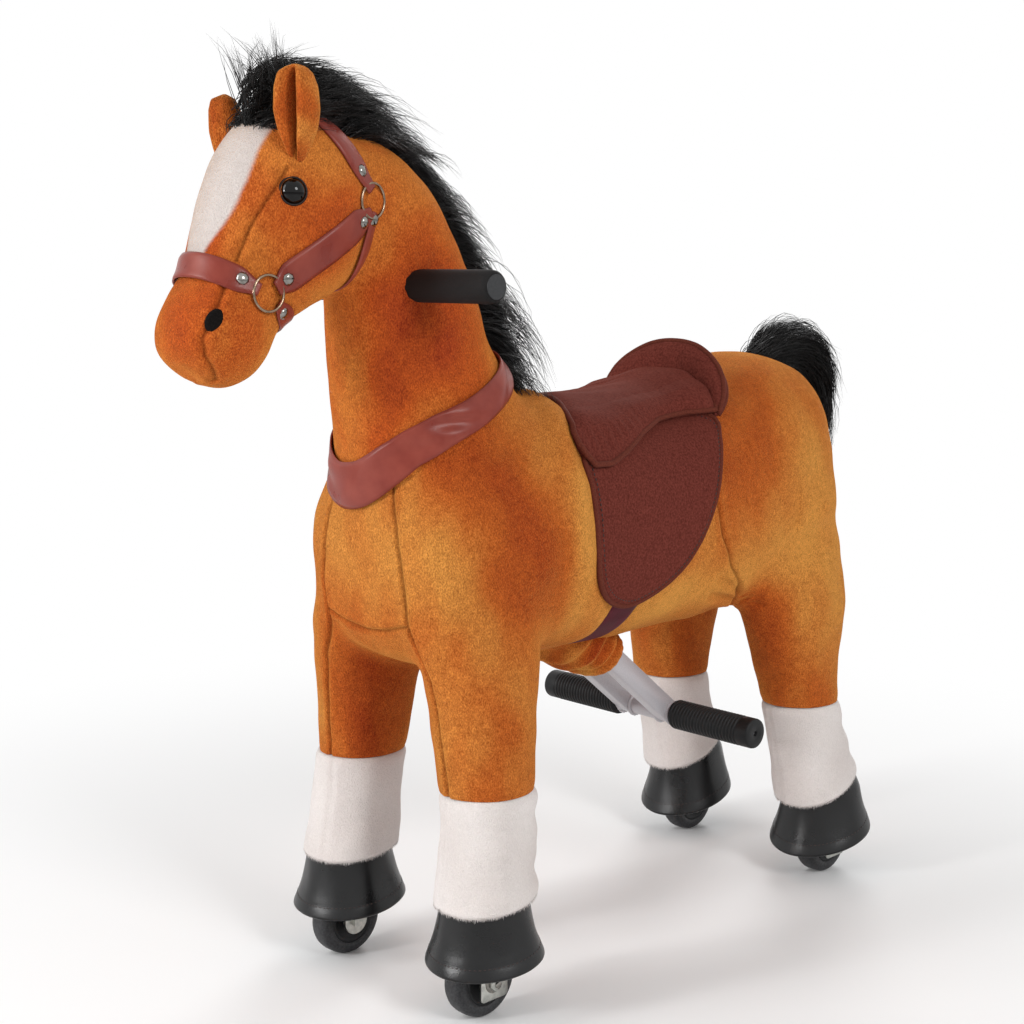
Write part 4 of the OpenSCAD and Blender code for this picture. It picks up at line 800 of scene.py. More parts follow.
# The plush swells in front of the saddle, and the girth pulls the belly in.
saddle_front = np.interp(z, [380, 400, 430, 530, 560, 590], [-105, -118, -127, -132, -122, -96])
swell = np.interp(z, [370, 400, 430, 520, 570, 600], [0, 3, 6, 9, 9, 6])
lumps = swell * bell(y - saddle_front + 17, 17)
lumps -= 7 * bell(y + 66, 24) * np.clip((400 - z) / 40, 0, 1)
# The stuffing sags between the front legs and in front of the thighs.
low = np.clip(-n[:, 2] * 2, 0, 1)
lumps += 9 * low * bell(side, 60) * bell(y + 230, 55)
lumps += 10 * low * bell(side - 60, 40) * bell(y - 145, 45)
# The shoulder is drawn in beside the chest, and the rump is fuller behind the hip.
shoulder = np.clip((0.69 * np.abs(n[:, 0]) - 0.72 * n[:, 1] - 0.7) * 3, 0, 1)
lumps -= 5 * bell(z - 505, 40) * shoulder
hip = np.clip((0.82 * np.abs(n[:, 0]) + 0.57 * n[:, 1] - 0.7) * 4, 0, 1)
lumps += 6 * bell(z - 440, 24) * hip * (y > 200)
lumps += 1.3 * waves(p, 120, 3) + 0.6 * waves(p, 45, 4)
push(body, seams + lumps)
# Painted shade along the sewn seams, and the pile's lie with the strokes' painted light and shade.
paint(body, "seam", bell(sewn, 1.5))
paint(body, "nap", nap_and_painted_light_of(millimetres(body), BODY_STROKES_AND_PAINTED_LIGHT, 91))
print("seams sunk by up to", round(float(-seams.min()), 1), "mm")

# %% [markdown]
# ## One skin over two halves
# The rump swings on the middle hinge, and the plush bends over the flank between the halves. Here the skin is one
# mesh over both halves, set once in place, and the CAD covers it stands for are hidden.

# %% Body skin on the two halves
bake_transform(body)
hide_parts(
    "torso_cover", "rump_cover", "front_left_leg", "front_right_leg", "rear_left_leg", "rear_right_leg"
)
print("body skin bends from", FLANK_Y - 55, "to", FLANK_Y + 45, "mm")

# %% [markdown]
# ## Neck and head
# Neck and head are one stuffed skin; on the toy it turns with the handles and is sewn to the chest at the collar.
# Here the skin is set once in place, and the CAD covers it stands for are hidden.

# %% Neck and head skin
face = skin(
    "neck_and_head_plush", [loft(finer(NECK_ROWS, 8), 64), loft(finer(HEAD_ROWS, 6), 64)],
    voxel=2.6, width=15.0, rounds=90, material=FACE_PLUSH,
)
cut(face, STEER_FOOT - 13 * COLLAR_UP, -SKEW_UP)
print("neck and head skin", len(face.data.vertices))


# %% Seams of the face
def head_place(points):
    """Places along the head's slope, above its middle line and sideways."""
    q = points - HEAD_MID
    return q @ SLOPE, q @ BROW, points[:, 0]


CHEEK_SEAM = [[10, 47], [46, 45], [66, 42], [98, 34]]
MUZZLE_SEAM = [[112, 31], [137, 28], [155, 25], [170, 21], [180, 9], [186, -18]]


def face_seam(points, normals=None):
    """Distance to the seams of the face, where they are on its sides; the normals aren't needed here."""
    s_, e_, x_ = head_place(points)
    flat_ = np.stack([s_, e_], 1)
    cheek = distance_to_line(flat_, CHEEK_SEAM) + np.clip(20 - np.abs(x_), 0, 99) + np.clip(s_ - 106, 0, 99)
    muzzle = distance_to_line(flat_, MUZZLE_SEAM) + np.clip(8 - np.abs(x_), 0, 99)
    return np.minimum(cheek, muzzle)


# %% Sink the face's seams
EYE_AT = (22.5, 31.5)
refine(face, face_seam, reach=8.0, rounds=2)
p = millimetres(face)
s, e, x = head_place(p)
side = np.abs(x)
sewn = face_seam(p)
seams = valley(sewn, 2.2, 2.2)
eye_gap = np.hypot(s - EYE_AT[0], e - EYE_AT[1])
seams -= 3.0 * bell(eye_gap, 15) * np.clip((side - 20) / 10, 0, 1)
handle_spot = STEER_FOOT + HANDLE_UP * AXIS_UP
gather = np.hypot(p[:, 1] - handle_spot[1], p[:, 2] - handle_spot[2])
angle = np.arctan2(p[:, 2] - handle_spot[2], p[:, 1] - handle_spot[1])
pucker = bell(gather - 22, 16) * np.clip((side - 25) / 15, 0, 1)
seams += pucker * (0.8 * np.sin(angle * 11) - 1.6)
lumps = 0.9 * waves(p, 100, 7) + 0.4 * waves(p, 40, 8)
push(face, seams + lumps)

# %% Blaze and pile of the face
p = millimetres(face)
s, e, x = head_place(p)
blaze_half = np.interp(s, [-50, -9, 18, 37, 55, 80, 100, 125], [26, 31, 33, 33, 30, 21, 14, 12])
mask = np.clip((blaze_half - np.abs(x)) / 3 + 0.5, 0, 1) * np.clip(e / 10, 0, 1)
mask *= np.clip((122 - s) / 4, 0, 1) * np.clip((s + 52) / 6, 0, 1)
paint(face, "blaze", mask)
# Painted shade along the face's seams.
paint(face, "seam", bell(sewn, 1.4))
# Patches of stroked pile that are also painted light and shade, with the same columns as the body's: golden down the
# neck's front edge, low beside the collar and on the forehead's side, redder on the neck's side, the cheek and the
# muzzle.
FACE_STROKES_AND_PAINTED_LIGHT = [
    ([70, -285, 655], [50, 55, 90], -0.18), ([0, -352, 620], [36, 40, 120], 0.3),
    ([75, -180, 612], [50, 48, 34], 0.35),
    (HEAD_MID + 25 * SLOPE - 25 * BROW + [60, 0, 0], [40, 45, 40], -0.22),
    (HEAD_MID - 12 * SLOPE + 42 * BROW + [48, 0, 0], [30, 38, 38], 0.22),
    (HEAD_MID + 150 * SLOPE + [40, 0, 0], [40, 40, 40], -0.1),
]
paint(face, "nap", nap_and_painted_light_of(p, FACE_STROKES_AND_PAINTED_LIGHT, 93))
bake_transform(face)
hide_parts("neck_cover", "head_cover")
print("blaze covers", round(float(mask.mean()), 3), "of the skin's points")

# %% Search trees of the skins
face_tree = tree_of(millimetres(face), [q.vertices for q in face.data.polygons])
body_tree = tree_of(millimetres(body), [q.vertices for q in body.data.polygons])
head_tree = tree_of(*loft(finer(HEAD_ROWS, 6), 96))
neck_tree = tree_of(*loft(finer(NECK_ROWS, 8), 96))
print("refined face and body", len(face.data.vertices), len(body.data.vertices))


# %% [markdown]
# ## Lathe-turned pieces
# Eyes, grips, hooves and tyres are round about an axis, so they are spun from a profile of radius and height.
# A Screw modifier would spin them too, but with plain arrays a ring can also be dented, as the hooves need.


# %% Spin a profile
def join(name, parts):
    """Several objects of one body as one piece."""
    with bpy.context.temp_override(active_object=parts[0], selected_editable_objects=parts):
        bpy.ops.object.join()
    parts[0].name = name
    parts[0].data.name = name
    return parts[0]


def spin(profile, sides, centre, axis, wobble=None):
    """Points and faces of a profile of (radius, height) spun about an axis through centre."""
    axis = unit(axis)
    u = unit(np.cross(axis, [0, 0, 1] if abs(axis[2]) < 0.9 else [0, 1, 0]))
    v = np.cross(axis, u)
    a = angles(sides)
    round_ = np.cos(a)[:, None] * u + np.sin(a)[:, None] * v
    points = []
    for r, h in profile:
        k = 1 if wobble is None else wobble(a, h)[:, None]
        points.append(np.asarray(centre) + r * k * round_ + h * axis)
    return np.vstack(points), grid_faces(len(profile), sides).tolist()


# %% Places on the head's side
def on_head(s_, e_, sign):
    """The skin's place and outward normal at a place in the head's side view."""
    spot = HEAD_MID + s_ * SLOPE + e_ * BROW + [sign * 150, 0, 0]
    hit = face_tree.ray_cast(Vector(to_frame(spot)), Vector((-sign, 0, 0)))
    return from_frame(hit[0]), np.array(hit[1])


def facing(s_, e_, sign, reach):
    """The skin's place and its normal evened out over a reach in millimetres."""
    normals = [on_head(s_ + reach * math.cos(t), e_ + reach * math.sin(t), sign)[1] for t in angles(12)]
    return on_head(s_, e_, sign)[0], unit(np.mean(normals, axis=0))


# %% [markdown]
# ## Ears
# Each ear is a folded leaf of plush: a closed form with a deep cleft down its front. Cloth could be folded for it, but
# two curves, one for its width and one for its depth, say directly where the fold lies.

# %% Ears
EAR_TURN = math.radians(30)
# The left ear stands up and the right one leans a little lower, as hand-sewn ears do.
EARS = {1: ([48.0, -419.0, 798.0], [10.0, -10.0, 80.0]), -1: ([-46.0, -420.0, 797.0], [-3.0, -7.0, 64.0])}
EAR_SIDES = 120


def ear(name, sign):
    """One ear: its half width and depth along its height, with a cleft between two lobes in front."""
    t = np.linspace(0, 1, 44)
    half = np.interp(t, [0, 0.12, 0.3, 0.55, 0.78, 0.9, 0.97, 1], [5, 9, 16, 20, 19, 16, 10, 2])
    deep = np.interp(t, [0, 0.2, 0.5, 0.8, 0.93, 1], [5, 12, 14, 12.5, 9, 1.5])
    at, up = (np.array(v) for v in EARS[sign])
    a = angles(EAR_SIDES)
    off_front = (a + math.pi / 2 + math.pi) % (2 * math.pi) - math.pi
    out = np.array([sign * math.cos(EAR_TURN), math.sin(EAR_TURN), 0])
    front = np.array([sign * math.sin(EAR_TURN), -math.cos(EAR_TURN), 0])
    rows = []
    for k, share in enumerate(t):
        u, v = half[k] * squarer(np.cos(a), 0.9), deep[k] * squarer(np.sin(a), 0.8)
        ends = np.clip(share / 0.1, 0, 1) * np.clip((1 - share) / 0.08, 0, 1)
        v = v + bell(off_front, 0.17) * deep[k] * 1.6 * ends
        lobes = 4.0 * bell(np.abs(off_front) - 0.6, 0.34) * ends
        rows.append(at + share * up + u[:, None] * out - (v - lobes)[:, None] * front)
    points = np.vstack(rows) + 0.5 * waves(np.vstack(rows), 26, 15)[:, None] * [0.6, 0.6, 0.2]
    faces = grid_faces(len(rows), EAR_SIDES).tolist()
    made = make(name, *close_ends(points, faces, EAR_SIDES), BROWN_PLUSH)
    paint(made, "nap", 0.42 + 0.2 * waves(points, 40, 97))
    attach(made, "steering")
    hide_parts("ears")
    return made


left_ear, right_ear = ear("left_ear", 1), ear("right_ear", -1)
print("ears", len(left_ear.data.vertices) + len(right_ear.data.vertices), "points")

# %% [markdown]
# ## Eyes and nostrils
# The eyes are glossy domes with a flat back, each pressed through a plastic ring. The nostrils are oval felt patches.
# Both stand square to the skin, whose normal is evened out around them so that a seam doesn't tilt them.


# %% Eyes and nostrils
EYE_R, EYE_H = 10.8, 8.6


def eye(name, sign):
    """A dome and its ring, square to the skin."""
    spot, out = facing(*EYE_AT, sign, 14)
    spot = spot + 1.6 * out
    dome = [(0.02, EYE_H)]
    dome += [(EYE_R * math.sin(t), EYE_H * math.cos(t)) for t in np.linspace(0.15, math.pi / 2, 10)]
    dome += [(EYE_R, -4), (0.02, -4)]
    made = make(name, *spin(dome, 32, spot - 1.5 * out, out), EYE_GLOSS)
    rim = [(10.4, -3), (10.6, 1.2), (11.4, 2.0), (12.4, 1.7), (12.9, 0.2), (13, -3)]
    ring_ = make(name + "_ring", *spin(rim, 32, spot - 1.5 * out, out), EYE_RING, outward=False)
    for piece in (made, ring_):
        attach(piece, "steering")
    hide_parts("eyes")


def nostril(name, sign):
    """A round patch on the skin, stretched to a slanting oval."""
    spot, out = facing(153, 24, sign, 8)
    points, faces = spin([(0.02, 2.6), (4, 2.5), (6, 2.0), (7, 0.8), (7.3, -6)], 32, spot, out)
    q = points - spot
    lift = unit(np.array([0, 0, 1.0]) - out[2] * out)
    along_ = lift * 0.85 - np.cross(out, lift) * 0.53 * sign
    points = spot + q + 0.45 * (q @ along_)[:, None] * along_
    made = make(name, points, faces, NOSTRIL_FELT, outward=False)
    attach(made, "steering")


for side_name, sign in SIDES.items():
    eye(side_name + "_eye", sign)
for side_name, sign in SIDES.items():
    nostril(side_name + "_nostril", sign)
print("eyes and nostrils set", 2 * len(SIDES))

# %% [markdown]
# ## Socks
# White plush socks hang over the tops of flared hooves of imitation leather, which hide the casters. A sock follows the
# rows of its leg a little outside them, so it fits; noise in its slack rear half makes the loose folds.


# %% Socks
LEGS = {
    "front_left": (FRONT_LEG_ROWS, 1, FRONT_HOOF_Y, "front"),
    "front_right": (FRONT_LEG_ROWS, -1, FRONT_HOOF_Y, "front"),
    "rear_left": (REAR_LEG_ROWS, 1, REAR_HOOF_Y, "rear"),
    "rear_right": (REAR_LEG_ROWS, -1, REAR_HOOF_Y, "rear"),
}
# Height of the sock's hem and of the hoof's rim at the middle, and how much both rise towards the heel.
HEM = {"front": (115, 0.11), "rear": (116, 0.42)}
RIM = {"front": (58, 0.09), "rear": (50, 0.3)}
SOCK_SIDES = 96


def sock(key, seed):
    """One sock over its leg's rows; gives back the points of its hem."""
    rows, sign, hoof_y, body_name = LEGS[key]
    hem_z, rise = HEM[body_name]
    fine = finer(rows, 10)
    shares = np.concatenate([np.linspace(0, 0.9, 40), np.linspace(0.92, 1, 9)])
    top = float(sock_top(hoof_y))
    rings = []
    for share in shares:
        z = top - 0.3 - share * (top - hem_z)
        row = np.array([np.interp(z, fine[:, 2], fine[:, k]) for k in range(8)])
        row[2] = z
        row[4:7] += 1.6 - 2.8 * bell(z - top, 4) + 0.8 * bell(share - 0.85, 0.12)
        row[4:7] -= 2.0 * np.clip((share - 0.96) / 0.04, 0, 1) ** 2
        loop = ring(row, SOCK_SIDES)
        loop[:, 2] += share * rise * (loop[:, 1] - hoof_y)
        rings.append(loop)
    last = rings[-1]
    middle = last.mean(0)
    for inward in (0.92, 0.86):
        rings.append(middle + (last - middle) * [inward, inward, 1] + [0, 0, 3 * (0.92 - inward) / 0.06])
    points = np.vstack(rings)
    out = points - np.repeat(np.array([loop.mean(0) for loop in rings]), SOCK_SIDES, 0)
    out = unit(out * [1, 1, 0])
    t = np.repeat(np.concatenate([shares, [1, 1]]), SOCK_SIDES)
    slack = 0.5 + 0.5 * out[:, 1]
    folds = 1.5 * waves(points * [0.45, 0.45, 1.5], 46, seed) * slack + 0.7 * waves(points, 50, seed + 1)
    seam_ = valley(np.abs(np.arctan2(out[:, 0], -out[:, 1]) + 0.25) * 44, 1.5, 2.6)
    points = points + out * (folds * np.clip(t * 5, 0, 1) * np.clip((1.05 - t) * 6, 0, 1) + seam_)[:, None]
    points[:, 0] *= sign
    faces = grid_faces(len(rings), SOCK_SIDES).tolist()
    faces.append(list(range(SOCK_SIDES)))
    made = make(key + "_sock_plush", points, faces, WHITE_PLUSH)
    paint(made, "nap", 0.5 + 0.25 * waves(points, 60, 99))
    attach(made, body_name)
    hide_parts(key + "_sock")
    return points[(len(shares) - 2) * SOCK_SIDES : (len(shares) - 1) * SOCK_SIDES]


sock_hems = {key: sock(key, 21 + 2 * i) for i, key in enumerate(LEGS)}
print("socks", len(sock_hems))


# %% [markdown]
# ## Hooves
# A hoof is a cone of imitation leather, turned in at its rim and pushed up under the sock. It is spun from a profile
# and dented a little, and its top is kept inside the sock's hem.

# %% Hooves
HOOF_SIDES, STITCH_ROW = 96, 8


def hoof(key, seed):
    """One flared hoof, open below; gives back the line of its stitches."""
    _, sign, hoof_y, body_name = LEGS[key]
    axle = [sign * TRACK / 2, hoof_y]
    rim, rise = RIM[body_name]
    top = HEM[body_name][0] + 10
    outside = [
        (0.735, 1.0), (0.745, 0.88), (0.76, 0.75), (0.784, 0.62), (0.815, 0.49), (0.852, 0.36), (0.89, 0.26),
        (0.921, 0.19), (0.93, 0.16), (0.95, 0.13), (0.972, 0.075), (0.993, 0.03), (1.0, 0.0),
    ]
    profile = [(r * HOOF_R, rim + h * (top - rim)) for r, h in outside]
    profile += [(HOOF_R * 0.998 - 1.2, rim - 1.4), (HOOF_R * 0.975 - 2.4, rim - 0.2)]
    profile += [(r * HOOF_R - 3.0, rim + h * (top - rim)) for r, h in outside[::-1][2:]]
    phase = np.random.default_rng(seed).uniform(0, 6.28, 4)

    def wobble(a, h):
        low = np.clip((top - h) / (top - rim), 0, 1)
        soft = 0.014 * np.sin(2 * a + phase[0]) + 0.011 * np.sin(3 * a + phase[1])
        dents = 0.012 * np.sin(5 * a + phase[2] + 2.5 * low) + 0.007 * np.sin(9 * a + phase[3] - 4 * low)
        return 1 + 1.4 * soft * low + dents * np.sin(math.pi * low)

    points, faces = spin(profile, HOOF_SIDES, [*axle, 0], [0, 0, 1], wobble)
    # Near its top the hoof stays inside the sock's hem and rises with it.
    hem, away = sock_hems[key][:, :2] - axle, points[:, :2] - axle
    share = np.clip((points[:, 2] - rim) / (top - rim), 0, 1)
    hem_at, here = np.arctan2(hem[:, 1], hem[:, 0]), np.arctan2(away[:, 1], away[:, 0])
    room = np.interp(here, hem_at, np.linalg.norm(hem, axis=1), period=2 * math.pi)
    heights, radii = np.array(outside)[::-1, 1], np.array(outside)[::-1, 0] * HOOF_R
    limit = room - 3.5 + 45 * np.clip(0.86 - share, 0, None)
    points[:, :2] -= away * np.clip(1 - limit / np.interp(share, heights, radii), 0, 0.6)[:, None]
    rise = rise + (HEM[body_name][1] - rise) * share
    points[:, 2] += rise * (points[:, 1] - hoof_y)
    made = make(key + "_hoof_shell", points, faces, HOOF_LEATHER)
    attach(made, body_name)
    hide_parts(key + "_hoof")
    # The stitches run along one row of the outside, where the cone meets the rim.
    return points.reshape(len(profile), HOOF_SIDES, 3)[STITCH_ROW]


hoof_lines = {key: hoof(key, 30 + i) for i, key in enumerate(LEGS)}
print("hooves", len(hoof_lines))

# %% [markdown]
# ## Wheels
# Each caster has a rubber tyre with rounded shoulders and a moulded nylon hub with a stepped face. Both are closed
# profiles spun about the axle, so they stay round when they turn.


# %% Tyres and hubs
def wheel(key, sign, y, body_name):
    """A tyre and its hub, spun about the axle."""
    centre = [sign * TRACK / 2, y, WHEEL_R]
    half = 12.0
    tread = [(25.0, -half), (30.0, -half), (33.5, -half + 0.4), (35.6, -half + 1.8), (36.9, -half + 4.2)]
    tread += [(WHEEL_R - 0.05, -4.5), (WHEEL_R, 0)]
    tread += [(r, -h) for r, h in tread[-2::-1]]
    tyre = make(key + "_tyre_ring", *spin(tread + [tread[0]], 96, centre, [1, 0, 0]), TYRE_RUBBER)
    face_ = [
        (4.2, -13.4), (7.8, -13.4), (8.4, -12.8), (8.6, -10.0), (10.5, -9.2), (19.0, -9.2), (20.5, -10.4),
        (22.0, -11.7), (24.95, -11.9),
    ]
    profile = face_ + [(r, -h) for r, h in face_[::-1]] + [face_[0]]
    hub = make(key + "_hub_disc", *spin(profile, 64, centre, [1, 0, 0]), HUB_NYLON)
    for piece, node, slot_ in ((tyre, "_tyre", "tyre_rubber"), (hub, "_hub", "hub_plastic")):
        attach(piece, body_name)
        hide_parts(key + node)


WHEEL_Y = {"front": FRONT_HOOF_Y - 6, "rear": REAR_HOOF_Y + 4}
for key, (_, sign, _, body_name) in LEGS.items():
    wheel(key, sign, WHEEL_Y[body_name], key + "_wheel")
print("wheels", len(LEGS))

# %% [markdown]
# ## Caster cheeks
# Each caster shows a stamped zinc cheek with a hexagon nut on its axle. They are flat pieces with a small chamfer,
# which catches the light as a rolled or filed edge does.


# %% Flat pieces with chamfered edges
def rounded_box(centre, half, radius, turn=0.0):
    """Outline of a box with rounded corners in the side view, turned about its middle."""
    straight = np.array(half) - radius
    spots_ = []
    for k, corner in enumerate(((1, 1), (-1, 1), (-1, -1), (1, -1))):
        for t in np.radians(np.linspace(0, 90, 7) + 90 * k):
            spots_.append(corner * straight + radius * np.array([math.cos(t), math.sin(t)]))
    c, s_ = math.cos(turn), math.sin(turn)
    return np.array(centre) + np.array(spots_) @ np.array([[c, s_], [-s_, c]])


def plate(name, outline, start, end, chamfer, material):
    """A flat piece: a side-view outline from one x to another."""
    outline = np.asarray(outline, float)
    middle = outline.mean(0)
    small = middle + (outline - middle) * (1 - chamfer / np.linalg.norm(outline - middle, axis=1))[:, None]
    step = math.copysign(chamfer, end - start)
    layers = ((start, small), (start + step, outline), (end - step, outline), (end, small))
    points = np.vstack([np.column_stack([np.full(len(o), at), o]) for at, o in layers])
    return make(name, *close_ends(points, grid_faces(4, len(outline)).tolist(), len(outline)), material)


# %% Cheeks and nuts
def caster_plate(key, sign, y):
    """The zinc cheek of a caster with its axle nut."""
    face_at = sign * (TRACK / 2 + 18.1)
    outline = rounded_box([y + 2, 46], [17, 26], 4)
    parts = [plate("cheek", outline, face_at - sign * 0.8, face_at + sign * 1.5, 0.4, ZINC)]
    turns = np.radians(np.arange(0, 360, 60) + 12)
    hexagon = [y, WHEEL_R] + 7.4 * np.stack([np.cos(turns), np.sin(turns)], 1)
    parts.append(plate("nut", hexagon, face_at + sign * 1.2, face_at + sign * 7.6, 0.9, ZINC))
    washer = [(10, 1.2), (10, 2.6), (9.6, 3.0), (0.02, 3.0)]
    stud = [(3.4, 2), (3.4, 9.2), (2.8, 9.8), (0.02, 9.8)]
    for name, profile, sides in (("washer", washer, 32), ("stud", stud, 20)):
        turned = spin(profile, sides, [face_at, y, WHEEL_R], [sign, 0, 0])
        parts.append(make(name, *close_ends(*turned, sides), NICKEL))
    return join(key + "_caster_cheek", parts)


for key, (_, sign, _, body_name) in LEGS.items():
    cheek_ = caster_plate(key, sign, WHEEL_Y[body_name])
    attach(cheek_, key + "_steer" if body_name == "front" else "rear")
print("caster cheeks", len(LEGS))

# %% [markdown]
# ## Handle grips
# The grips are foam sleeves with rounded ends on the handlebar. The soft end is drawn in the profile, because a bevel
# would give it one even radius.


# %% Handle grips
GRIP_PROFILE = [
    (11.2, 34), (15, 34), (15, 146), (14.9, 152), (14.3, 156), (12.8, 158.4), (10, 159.5), (5, 159.9), (0.02, 160),
]


def grip(name, sign):
    """A foam sleeve on one end of the handlebar."""
    made = make(name + "_foam", *spin(GRIP_PROFILE, 48, handle_spot, [sign, 0, 0]), FOAM)
    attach(made, "steering")
    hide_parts(name)


for side_name, sign in SIDES.items():
    grip(side_name + "_handle_grip", sign)
print("handle grips", len(SIDES))

# %% [markdown]
# ## Foot grips
# The rubber sleeves of the foot bar are moulded with rings all round, a plain end and a small vent hole. One short
# profile of a rib is repeated along the bar.

# %% Foot grips
FOOT_BAR = [0, PEDAL_Y + LEVER_BACK, PEDAL_Z - LEVER_DOWN]
RIB = [(15.0, 0), (16.3, 0.7), (16.5, 1.6), (16.3, 2.5), (15.0, 3.2), (14.8, 3.8)]
foot_profile = [(11.1, 42), (15.6, 42)]
foot_profile += [(radius, 43 + 4.4 * k + at) for k in range(21) for radius, at in RIB]
foot_profile += [
    (16.2, 136), (16.3, 137), (16.3, 149.5), (15.8, 151.2), (14.6, 152), (3.2, 152), (2.8, 151.4), (2.8, 145),
    (0.02, 145),
]
feet = [make("foot", *spin(foot_profile, 48, FOOT_BAR, [sign, 0, 0]), GRIP_RUBBER) for sign in SIDES.values()]
foot_grips = join("foot_grip_pair", feet)
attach(foot_grips, "pedal")
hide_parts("foot_grips")
print("foot grips", len(foot_grips.data.vertices), "points")

# %% [markdown]
# ## Saddle
# The saddle is padded suede: a seat pad that runs down both sides, a raised cantle roll behind it, and a D-shaped
# flap on each side with a bound edge. All lie on the barrel, so its own smooth form places them.

# %% The barrel as a surface
BARREL_FINE = finer(BARREL_ROWS, 12)
BARREL_FINE = BARREL_FINE[np.argsort(BARREL_FINE[:, 1])]


def barrel_at(y):
    """Middle height, half width, half depths up and down and squareness of the barrel at y."""
    return [np.interp(y, BARREL_FINE[:, 1], BARREL_FINE[:, k]) for k in (2, 4, 5, 6, 7)]


def on_barrel(y, turn):
    """A place on the barrel at y, turned from the top towards +X by an angle."""
    mid, a, up, down, sq = barrel_at(y)
    s_, c_ = np.sin(turn), np.cos(turn)
    x = a * squarer(s_, 2 / sq)
    z = mid + np.where(c_ > 0, up, down) * squarer(c_, 2 / sq)
    return np.stack([x, np.broadcast_to(y, x.shape), z], -1)


def barrel_normal(y, turn):
    """The barrel's outward normal at a place on it."""
    d = 1e-3
    along_ = on_barrel(y + 0.5, turn) - on_barrel(y - 0.5, turn)
    round_ = on_barrel(y, turn + d) - on_barrel(y, turn - d)
    normal = unit(np.cross(round_, along_))
    middle = np.stack([0 * turn, np.broadcast_to(y, turn.shape), 0 * turn + BARREL_MID_Z], -1)
    outward = np.sign((normal * (on_barrel(y, turn) - middle)).sum(-1))
    return normal * outward[..., None]


def turn_for_height(y, z):
    """The turn from the top at which the barrel's side has height z."""
    turns = np.linspace(0, math.pi * 0.75, 200)
    heights = on_barrel(np.full(200, float(y)), turns)[:, 2]
    return float(np.interp(-z, -heights, turns))


def barrel_side(y, z):
    """Half width of the barrel at y and z."""
    mid, a, up, down, sq = barrel_at(y)
    share = np.clip(np.abs(z - mid) / np.where(z > mid, up, down), 0, 1)
    return a * (1 - share**sq) ** (1 / sq)


# %% [markdown]
# ## Padded layers
# A pad is a grid of places on the barrel, each lifted by its own height and closed below. The seat and the cantle
# roll differ only in their grids and heights, so one function sews both.


# %% A padded layer on the barrel
def rim_of(grid):
    """The outer places of a grid, in order round it."""
    return np.concatenate([grid[0, :-1], grid[:-1, -1], grid[-1, :0:-1], grid[:0:-1, 0]])


def pad(name, grid_y, grid_turn, height, material, sink=1.0):
    """A closed pad over a grid of places on the barrel, with the height given at each."""
    rows, cols = grid_y.shape
    base_points = on_barrel(grid_y, grid_turn)
    out = barrel_normal(grid_y, grid_turn)
    top = base_points + out * height[..., None]
    bottom = base_points - out * sink
    points = np.vstack([top.reshape(-1, 3), bottom.reshape(-1, 3)])
    upper = grid_faces(rows, cols, False)
    count = rows * cols
    faces = upper.tolist() + (upper[:, ::-1] + count).tolist()
    rim = rim_of(np.arange(count).reshape(rows, cols))
    after = np.roll(rim, -1)
    faces += np.stack([rim, rim + count, after + count, after], 1).tolist()
    return make(name, points, faces, material), top


def rounded(t, edge):
    """Share of full height of a pad at t from -1 to 1, rounded off near its edges."""
    t = np.clip((1 - np.abs(t)) / edge, 0, 1)
    return np.sqrt(np.clip(1 - (1 - t) ** 2, 0, 1))


# %% [markdown]
# ## Seat pad
# The seat is thick in the middle, thin where it lies over the flaps, and pulled into small folds by its seams.

# %% Seat pad
u, w = np.linspace(0, 1, 150), np.linspace(-1, 1, 151)
U, W = np.meshgrid(u, w, indexing="ij")
seat_front = np.interp(
    np.abs(w), [0, 0.2, 0.4, 0.6, 0.78, 0.88, 0.95, 1], [-88, -95, -109, -124, -134, -134, -130, -122]
)
seat_rear = np.interp(np.abs(w), [0, 0.3, 0.6, 0.85, 1], [128, 125, 116, 105, 99])
SEAT_Y = seat_front[None, :] * (1 - U) + seat_rear[None, :] * U
edge_y = np.linspace(-136, 104, 80)
edge_z = np.interp(edge_y, [-136, -122, -98, -72, -30, 12, 62, 104], [524, 517, 516, 523, 537, 546, 550, 552])
low_turn = np.array([turn_for_height(y, z) for y, z in zip(edge_y, edge_z)])
SEAT_TURN = W * np.interp(SEAT_Y, edge_y, low_turn)
full = rounded(W, 0.16) * rounded(2 * U - 1, 0.14)
spots = on_barrel(SEAT_Y, SEAT_TURN).reshape(-1, 3)
crown = (8 + 9 * np.cos(W * 1.4)) * np.interp(U, [0, 0.15, 0.4, 0.6], [0.3, 0.45, 0.8, 1])
crown += 4 * bell(U - 0.86, 0.1)
# Low on the sides the seat lies over the flaps.
seat_height = 2 + 6 * np.clip((np.abs(W) - 0.45) * 4, 0, 1) + crown * full
seat_height += 0.8 * waves(spots * [1.0, 0.4, 1.0], 40, 41).reshape(U.shape) * full
pulls = np.sin(SEAT_Y / 2.1 + 1.5 * np.sin(W * 4)) * bell(np.abs(W) - 0.85, 0.14) * np.clip(0.6 - U, 0, 1)
creases = np.sin((SEAT_Y + 70 * np.abs(W)) / 3.1 + 2 * np.sin(W * 5)) * bell(np.abs(W) - 0.45, 0.25)
seat_height += (1.5 * pulls + 0.35 * creases * np.clip((U - 0.2) * 2, 0, 1)) * np.sqrt(full)
seat, seat_top = pad("seat_pad", SEAT_Y, SEAT_TURN, seat_height, SUEDE)
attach(seat, "front")
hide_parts("saddle_seat")
print("seat up to", round(float(seat_height.max()), 1), "mm thick")

# %% [markdown]
# ## Cantle roll
# The cantle is a stuffed roll across the back, high in the middle and gathered into pleats where it meets the seat.

